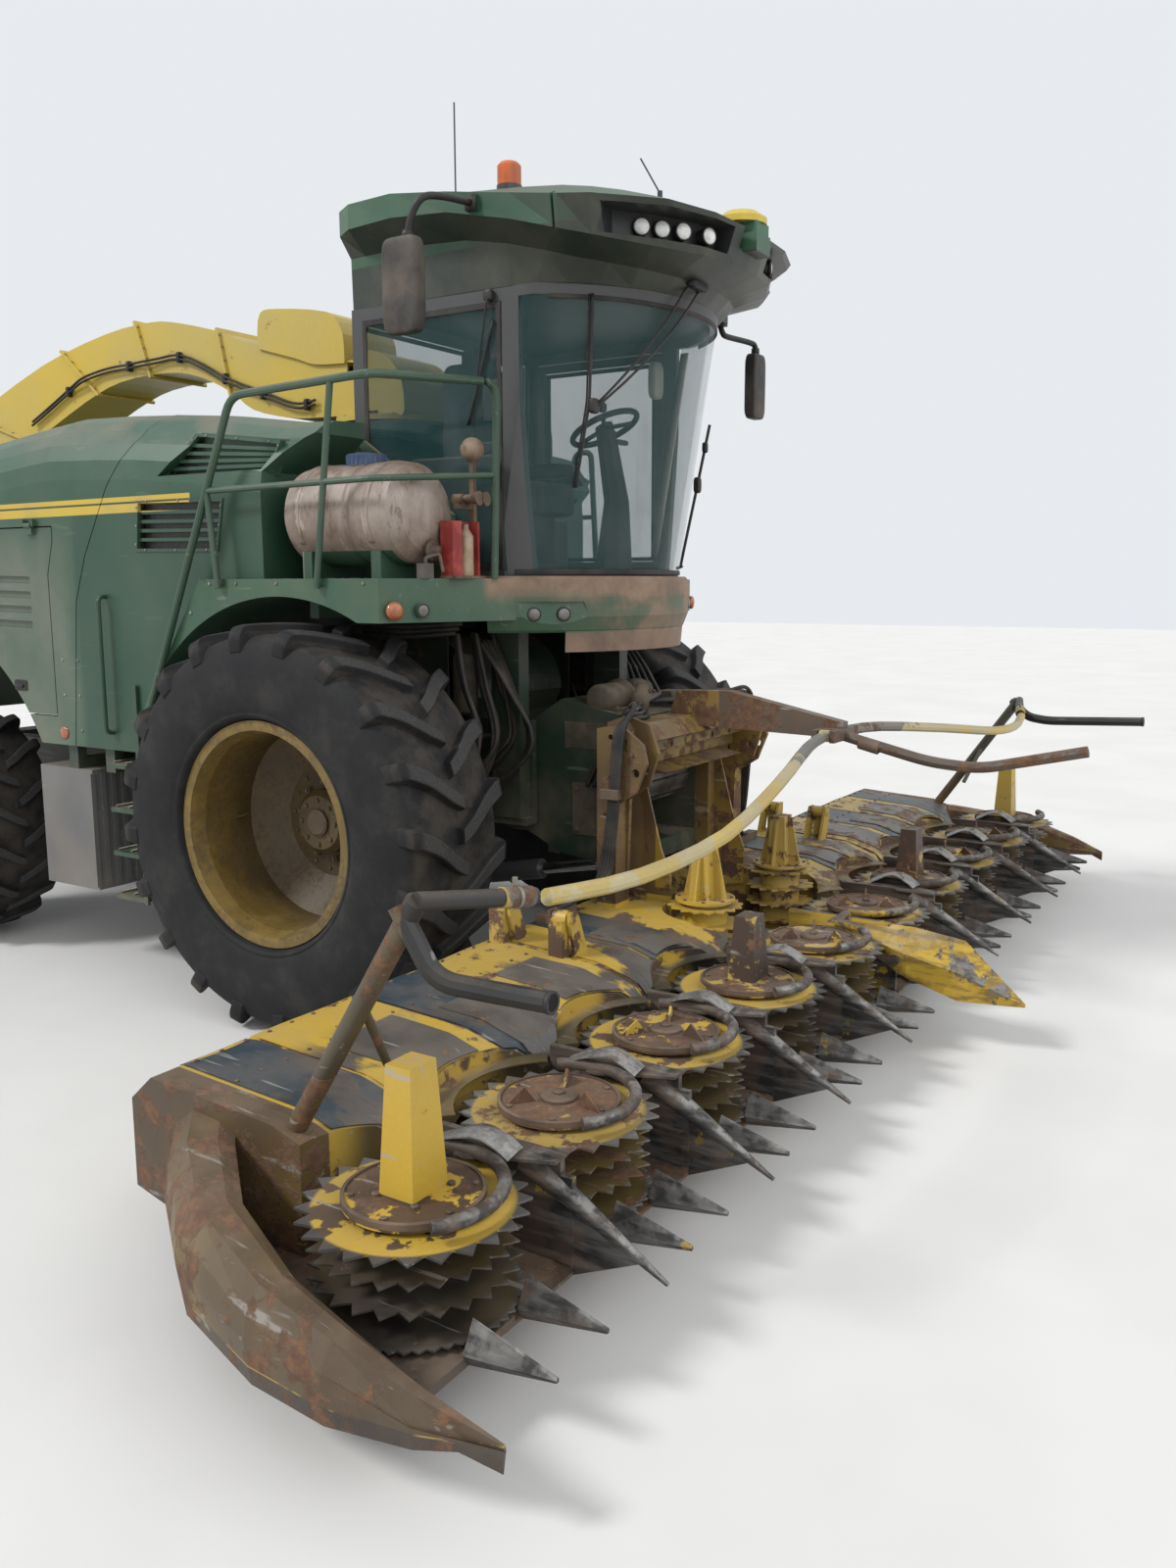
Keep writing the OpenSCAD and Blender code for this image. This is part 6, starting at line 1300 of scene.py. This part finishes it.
class HARVESTER_OT_spout(bpy.types.Operator):
    """Adds the spout's flange bolts, its lines and clips, the ram's gland and the turret's bolts"""
    bl_idname = "harvester.spout"
    bl_label = "Add the spout's fittings"

    def execute(self, context):
        size = context.scene.harvester_body.bolt_radius
        top = smooth([(0.72, 3.53), (0.96, 3.545), (1.12, 3.595), (1.49, 3.70), (1.79, 3.815), (2.15, 3.905),
                      (2.43, 3.94), (2.90, 3.91), (3.60, 3.77), (4.47, 3.48), (4.88, 3.34)], 3)
        under = smooth([(0.72, 3.232), (0.96, 3.235), (1.20, 3.25), (1.51, 3.32), (1.70, 3.44), (1.99, 3.56),
                        (2.30, 3.61), (2.76, 3.59), (3.14, 3.49), (3.78, 3.26), (4.47, 3.13), (4.88, 3.08)],
                       3)
        heads = []
        # Bolts down both walls of each flange, on its front and back, and across its top
        for i in FLANGES:
            a, b = top[i], under[i]
            along = np.array([0.0, a[1] - b[1], b[0] - a[0]])
            along /= np.linalg.norm(along)
            for t in (0.08, 0.30, 0.52, 0.74, 0.94):
                c = np.array([0.226, *(b + (a - b) * t)])
                for sign in (1, -1):
                    heads += bolts([c + sign * HALF_FLANGE * along], sign * along, size * 0.62, 0.006)
            for x in (-0.15, -0.05, 0.05, 0.15):
                c = np.array([x, *(a + (a - b) / np.linalg.norm(a - b) * 0.011)])
                heads += bolts([c + HALF_FLANGE * along], along, size * 0.62, 0.006)
        heads += [flipped(h) for h in heads if abs(h[0][:, 0].mean()) > 0.2]
        piece("spout_bolts", "spout_arm", "bolt_zinc", heads)
        # Two lines and their clips along the right wall
        side = -0.2275
        rows = np.arange(3, len(top) - 4)
        share = 0.30 + 0.05 * np.sin(rows * 0.9)
        mid = under[rows] + (top[rows] - under[rows]) * share[:, None]
        runs, clips = [], []
        for k, off in enumerate((0.0, 0.026)):
            path = np.column_stack([np.full(len(rows), side - 0.0125 - 0.004 * k), mid[:, 0],
                                    mid[:, 1] - off])
            path[np.isin(rows, FLANGES), 0] -= 0.014
            runs.append(tube(smooth(path, 4), 0.0080, 8))
        for i in range(1, len(rows), 4):
            c = np.array([side - 0.010, mid[i, 0], mid[i, 1] - 0.013])
            clips.append(pillow(c, (0.0205, 0.014, 0.034), 0.35, 13, 24))
        piece("spout_lines", "spout_arm", "hose_black", runs, True)
        piece("spout_clips", "spout_arm", "trim_black", clips, True)
        # Gland at the end of the ram's barrel
        ram = turned([(0.0285, -0.002), (0.034, 0.0), (0.034, 0.030), (0.026, 0.038), (0.018, 0.038)],
                     (0.290, 1.008, 3.2713), (0, 0.99832, 0.057874), 32)
        piece("spout_ram_gland", "spout_ram_barrel", "trim_black", [ram], True)
        base = circle((0.0, 0.55, 3.210), 0.330, 18, axis=2)
        piece("turret_bolts", "spout_turret", "bolt_zinc", bolts(base, (0, 0, 1), size * 0.75, 0.008))
        return {"FINISHED"}


# Sheets on the deck of a wing and of the middle: both edges, the rear edge, the lift and the front's curl
DECK_SHEETS = (
    ("deck", "blue", ((2.98, 3.27, -1.24, 0.003, 0.000), (2.02, 2.42, -1.24, 0.003, 0.004))),
    ("deck", "yellow", ((2.44, 2.96, -1.24, 0.003, 0.010), (1.53, 2.00, -1.24, 0.003, 0.010))),
    ("deck", "steel", ((2.52, 2.86, -1.52, 0.009, 0.014), (1.62, 1.92, -1.55, 0.009, 0.014),
                       (2.12, 2.34, -1.60, 0.009, 0.010))),
    ("middle", "blue", ((0.92, 1.22, -1.24, 0.003, 0.004),)),
    ("middle", "yellow", ((1.24, 1.485, -1.24, 0.003, 0.008),)),
    ("middle", "steel", ((0.98, 1.18, -1.56, 0.009, 0.012),)),
)


class HARVESTER_OT_header(bpy.types.Operator):
    """Adds the header's worn deck sheets, saddles, screws, pipes and feed roller"""
    bl_idname = "harvester.header"
    bl_label = "Add the header's sheets"

    def execute(self, context):
        size = context.scene.harvester_body.bolt_radius
        paints = {"blue": worn_sheet("sheet_blue", BLUE, BLUE_PALE, 0.28),
                  "yellow": worn_sheet("sheet_yellow", YELLOW, YELLOW_FADED, 0.40),
                  "steel": worn_sheet("sheet_steel", (0.060, 0.055, 0.050), (0.145, 0.133, 0.118), 0.42)}
        bright = bright_steel()
        for side, sign in SIDES:
            for part, kind, sheets in DECK_SHEETS:
                made = piece("%s_sheets_%s_%s" % (part, kind, side),
                             "wing_" + side if part == "deck" else "header", paints[kind],
                             mirrored([deck_sheet(*sheet) for sheet in sheets], sign))
                thick = made.modifiers.new("Sheet", "SOLIDIFY")
                thick.thickness = 0.004
                thick.offset = 1.0 if made.data.polygons[0].normal.z > 0 else -1.0
            x = np.arange(1.58, 3.24, 0.11)
            rows = [np.stack([x + dx, 0 * x + y, 0 * x + deck_height(y) + 0.007], -1)
                    for dx, y in ((0.0, -1.275), (0.03, -1.50))]
            heads = mirrored(bolts(np.vstack(rows), (0, 0, 1), size * 0.6, 0.005), sign)
            piece("wing_deck_bolts_" + side, "wing_" + side, "bolt_brown", heads)
            # Saddle plates that run back from the guard rings over each divider
            saddles = {"wing_" + side: [], "header": []}
            for k, dx in ((1, 0.0), (2, 0.016), (3, 0.0), (4, 0.0)):
                x = k * PITCH + dx
                path = smooth([(x + 0.070, -2.475, 0.5575), (x + 0.076, -2.430, 0.588),
                               (x + 0.088, -2.370, 0.612), (x + 0.098, -2.300, 0.598),
                               (x + 0.090, -2.215, 0.5575)], 5)
                shapes = [swept(path, [(-0.050, 0.0), (0.0, 0.010), (0.050, 0.0), (0.050, 0.005),
                                       (0.0, 0.016), (-0.050, 0.005)])]
                shapes += bolts([(x + 0.085, -2.385, 0.622)], (0.05, 0.1, 1.0), size * 0.9, 0.008)
                saddles["header" if k == 1 else "wing_" + side] += mirrored(shapes, sign)
            # A painted sleeve and its clamp on the rod that holds the guard bar
            along = (-0.41, -0.105, -0.06)
            sleeve = hoop([(0.0268, 0.0), (0.0315, 0.0), (0.0315, 0.115), (0.0268, 0.115)],
                          (3.115, -2.468, 1.3583), along, 32)
            piece("guard_sleeve_" + side, "wing_" + side, paints["yellow"], mirrored([sleeve], sign),
                  bevel=0.0008)
            clamp = hoop([(0.0300, 0.0), (0.0355, 0.0), (0.0355, 0.012), (0.0300, 0.012)],
                         (3.065, -2.4808, 1.3510), along, 32)
            ear = block((3.054, -2.4860, 1.380), (3.066, -2.4740, 1.410))
            piece("guard_clamp_" + side, "wing_" + side, "bolt_zinc", mirrored([clamp, ear], sign),
                  bevel=0.0008)
            # The guard pipe's open end
            end, way = ((3.30, -3.25, 1.30), (0, -1, 0.05)) if sign > 0 else ((3.29, -2.76, 1.15), (0, -1, 0))
            mouth = hoop([(0.0245, -0.010), (0.0325, -0.010), (0.0325, 0.003), (0.0245, 0.003)], end, way, 32)
            piece("pipe_end_" + side, "wing_" + side, "trim_black", mirrored([mouth], sign), True)
            hole = turned([(0.0250, -0.004), (0.0250, 0.0012), (0.0, 0.0012)], end, way, 32)
            piece("pipe_hole_" + side, "wing_" + side, "pipe_inside", mirrored([hole], sign))
            for body, shapes in saddles.items():
                piece("saddles_%s_%s" % (body, side), body, bright, shapes)
        # Rotors: screws and a ring on each cover, and a cap where no tower stands
        for n in range(1, ROTORS + 1):
            x = (n - (ROTORS + 1) / 2) * PITCH
            top = (x, ROTOR_Y, COVER_TOP)
            shapes = bolts(circle(top, 0.178, 6, 13.0 * n, 2), (0, 0, 1), size * 0.8, 0.008)
            shapes.append(hoop([(0.196, -0.014), (0.2075, -0.014), (0.2075, 0.004), (0.196, 0.006)],
                               (x, ROTOR_Y, 0.545), (0, 0, 1), 64))
            if n in TOWERS:
                shapes += bolts(circle(top, (0.115, 0.100, 0.0), 4, 45.0, 2), (0, 0, 1), size, 0.010)
            else:
                shapes.append(turned([(0.062, -0.002), (0.062, 0.010), (0.050, 0.016), (0.0, 0.017)], top,
                                     (0, 0, 1), 28))
                shapes += bolts([(x, ROTOR_Y, 0.560)], (0, 0, 1), size * 1.5, 0.012)
            piece("rotor_screws_%d" % n, "rotor_%d" % n, "bolt_brown", shapes)
        # Drums: a ring of screws under each tower
        for side, sign in SIDES:
            ring = circle((sign * 0.47, -1.80, 0.694), 0.132, 8, 22.5, 2)
            piece("drum_screws_" + side, "feed_drum_" + side, "bolt_brown",
                  bolts(ring, (0, 0, 1), size * 0.7, 0.008))
        # Steel pipes and their blocks on the header's frame
        pipes, joints = [], []
        for k in range(4):
            x, z = 0.30 + 0.050 * k, 1.560 + 0.022 * k
            path = smooth([(x, -1.345, 1.545), (x, -1.375, z + 0.010), (x + 0.12, -1.42, z + 0.012),
                           (0.655, -1.455 - 0.012 * k, z + 0.020), (0.752, -1.440 - 0.014 * k, 1.50),
                           (0.765, -1.410 - 0.012 * k, 1.10 - 0.03 * k), (0.800, -1.360 - 0.014 * k, 0.78),
                           (0.96 + 0.05 * k, -1.300, 0.690)], 7)
            pipes.append(tube(path, 0.0115, 9))
            joints.append(turned([(0.017, 0.0), (0.017, 0.020), (0.013, 0.026), (0.0, 0.027)],
                                 (x, -1.345, 1.538), (0, 0, 1), 6))
        joints += [block((0.27, -1.370, 1.536), (0.49, -1.322, 1.549)),
                   block((0.745, -1.475, 1.20), (0.790, -1.375, 1.25)),
                   block((0.93, -1.330, 0.655), (1.20, -1.270, 0.700))]
        piece("header_pipes", "header", "hose_black", both(pipes), True)
        piece("pipe_blocks", "header", "bolt_brown", both(joints), bevel=0.002)
        stand = np.array([(x, -1.4805, z) for x in (-0.66, -0.45, -0.24, 0.24, 0.45, 0.66)
                          for z in (1.42, 1.52)])
        plates = bolts(stand, (0, -1, 0), size, 0.010)
        ears = np.array([(0.726, y, z) for y, z in ((-1.36, 0.68), (-1.36, 0.90), (-1.36, 1.12),
                                                    (-1.52, 1.42), (-1.44, 1.53))])
        ears = bolts(ears, (1, 0, 0), size * 0.9, 0.009)
        sleeve = hoop([(0.0275, -0.055), (0.034, -0.050), (0.034, 0.050), (0.0275, 0.055)],
                      (0.0, -2.46, 1.452), (0, -1, -0.232), 24)
        piece("stand_bolts", "header", "bolt_brown", plates + both(ears) + [sleeve])
        # Roller across the feed opening, with raised bars
        shapes = [turned([(0.120, 0.0), (0.125, 0.004), (0.125, 0.656), (0.120, 0.66)], (-0.33, -1.16, 1.18),
                         (1, 0, 0), 40)]
        for c in circle((0.0, -1.16, 1.18), 0.126, 10):
            shapes.append(tube(np.stack([c - [0.325, 0, 0], c + [0.325, 0, 0]]), 0.011, 6))
        piece("feed_roller", "header", "roller_steel", shapes)
        return {"FINISHED"}


class HARVESTER_OT_drive(bpy.types.Operator):
    """Adds the gearbox, valves and lines under the nose, and what fills the dark bay behind its flap"""
    bl_idname = "harvester.drive"
    bl_label = "Add the feed drive"

    def execute(self, context):
        size = context.scene.harvester_body.bolt_radius
        shapes = [turned([(0.0, 0.0), (0.070, 0.004), (0.084, 0.02), (0.084, 0.20), (0.100, 0.21),
                          (0.100, 0.235), (0.060, 0.25), (0.060, 0.33), (0.0, 0.332)],
                         (-0.385, -1.115, 1.640), (1, 0, 0), 32),
                  turned([(0.0, 0.0), (0.055, 0.003), (0.062, 0.02), (0.062, 0.12), (0.045, 0.13),
                          (0.045, 0.20), (0.0, 0.202)], (0.10, -1.020, 1.655), (1, 0, 0), 28),
                  turned([(0.0, 0.0), (0.048, 0.003), (0.048, 0.10), (0.034, 0.11), (0.034, 0.15),
                          (0.0, 0.151)], (-0.22, -1.27, 1.575), (0, -0.15, 1), 24)]
        piece("feed_gearbox", "header", "dusty_casting", shapes, True)
        boxes = [block((-0.36, -1.22, 1.565), (0.36, -0.98, 1.600)),
                 block((-0.05, -1.19, 1.598), (0.08, -1.02, 1.680)),
                 block((0.20, -1.24, 1.580), (0.34, -1.14, 1.650)),
                 block((-0.404, -1.24, 1.38), (-0.400, -0.92, 1.52)),
                 block((-0.425, -1.20, 0.92), (-0.400, -0.98, 1.20))]
        piece("valve_blocks", "header", "dusty_casting",
              boxes + [block((0.400, -1.20, 0.92), (0.425, -0.98, 1.20))], bevel=0.008)
        heads = bolts([(x, y, 1.600) for x in (-0.33, -0.15, 0.14, 0.33) for y in (-1.20, -1.00)], (0, 0, 1),
                      size * 0.9, 0.009)
        heads += bolts([(-0.425, y, z) for y in (-1.17, -1.01) for z in (0.95, 1.17)], (-1, 0, 0),
                       size, 0.010)
        fittings = [turned([(0.016, 0.0), (0.016, 0.018), (0.012, 0.022), (0.0, 0.023)], (x, -1.19, z),
                           (0, -1, 0), 6) for x in (-0.03, 0.015, 0.06) for z in (1.618, 1.655)]
        piece("drive_bolts", "header", "bolt_brown", heads + fittings)
        lines = []
        r = context.scene.harvester_body.hose_radius
        for k, x in enumerate((-0.03, 0.015, 0.06)):
            path = smooth([(x, -1.200, 1.650), (x - 0.01, -1.245, 1.652),
                           (x - 0.16 - 0.03 * k, -1.300, 1.635), (-0.37 - 0.01 * k, -1.295, 1.590),
                           (-0.428, -1.250, 1.500), (-0.432, -1.200 + 0.034 * k, 1.300),
                           (-0.434, -1.160 + 0.040 * k, 1.190)], 7)
            lines.append(tube(path, r, 9))
            path = smooth([(x, -1.200, 1.612), (x + 0.02, -1.235, 1.612),
                           (x + 0.18 + 0.03 * k, -1.285, 1.605), (0.38 + 0.01 * k, -1.280, 1.570),
                           (0.428, -1.240, 1.480), (0.432, -1.190 + 0.034 * k, 1.300),
                           (0.434, -1.150 + 0.040 * k, 1.190)], 7)
            lines.append(tube(path, r, 9))
        piece("drive_lines", "header", "hose_black", lines, True)
        # The dark bay behind the nose's flap: lines, sheets and filters
        bay = []
        for k in range(5):
            x = 0.58 + 0.035 * k
            path = smooth([(x, -0.60, 1.95), (x + 0.01, -0.72 - 0.02 * k, 1.70),
                           (x - 0.01, -0.80 - 0.03 * k, 1.42), (x + 0.01, -0.62, 1.16), (x, -0.36, 1.08)], 8)
            bay.append(tube(path, 0.013, 8))
        for k in range(11):
            x, y, low = 0.50 + 0.036 * k, -0.50 - 0.035 * (k % 4), 1.14 + 0.055 * (k % 5)
            path = smooth([(x, y, 1.99), (x + 0.012 * (-1) ** k, y - 0.05, 1.74),
                           (x - 0.010, y - 0.10 - 0.02 * (k % 3), 1.48), (x + 0.015, y - 0.06, low + 0.08),
                           (x, y + 0.08, low), (x - 0.012, y + 0.26, low + 0.06), (x, y + 0.36, low + 0.24)],
                          7)
            bay.append(tube(path, 0.010 + 0.003 * (k % 3), 8))
        piece("bay_lines", "chassis", "hose_black", both(bay), True)
        sheet = border([(-0.30, 1.35), (1.00, 1.35), (1.00, 2.215), (-0.30, 2.215)], 0.030, -0.002, 0.004,
                       [(0, 1, 0), (0, 0, 1), (1, 0, 0), (0.60, 0, 0)])
        face = block((0.596, -0.29, 1.36), (0.600, 0.99, 2.205))
        piece("bay_sheets", "chassis", "frame_green", both([sheet, face]), bevel=0.001)
        cans = [turned([(0.0, 0.0), (0.060, 0.004), (0.066, 0.02), (0.066, 0.30), (0.055, 0.32),
                        (0.0, 0.322)], (0.66, -0.46, 1.56), (0, 0, 1), 28)]
        piece("bay_filters", "chassis", "dusty_casting", both(cans), True)
        return {"FINISHED"}


OPERATORS = (HARVESTER_OT_stage, HARVESTER_OT_paint, HARVESTER_OT_lamps, HARVESTER_OT_mirrors,
             HARVESTER_OT_wipers, HARVESTER_OT_seat, HARVESTER_OT_wheels, HARVESTER_OT_panels,
             HARVESTER_OT_tank, HARVESTER_OT_spout, HARVESTER_OT_header, HARVESTER_OT_drive)


class HARVESTER_PT_panel(bpy.types.Panel):
    """Lists the steps and their settings"""
    bl_idname = "HARVESTER_PT_panel"
    bl_label = "Forage harvester"
    bl_space_type = "VIEW_3D"
    bl_region_type = "UI"
    bl_category = "Harvester"

    def draw(self, context):
        for group in (context.scene.harvester_body, context.scene.harvester_stage):
            for name in group.__annotations__:
                self.layout.prop(group, name)
        for operator in OPERATORS:
            self.layout.operator(operator.bl_idname)


CLASSES = (BodySettings, StageSettings) + OPERATORS + (HARVESTER_PT_panel,)


def register():
    for item in CLASSES:
        bpy.utils.register_class(item)
    bpy.types.Scene.harvester_body = bpy.props.PointerProperty(type=BodySettings)
    bpy.types.Scene.harvester_stage = bpy.props.PointerProperty(type=StageSettings)


def unregister():
    del bpy.types.Scene.harvester_stage
    del bpy.types.Scene.harvester_body
    for item in reversed(CLASSES):
        bpy.utils.unregister_class(item)


def main():
    register()
    for operator in OPERATORS:
        getattr(bpy.ops.harvester, operator.bl_idname.split(".")[1])()


if __name__ == "__main__":
    main()
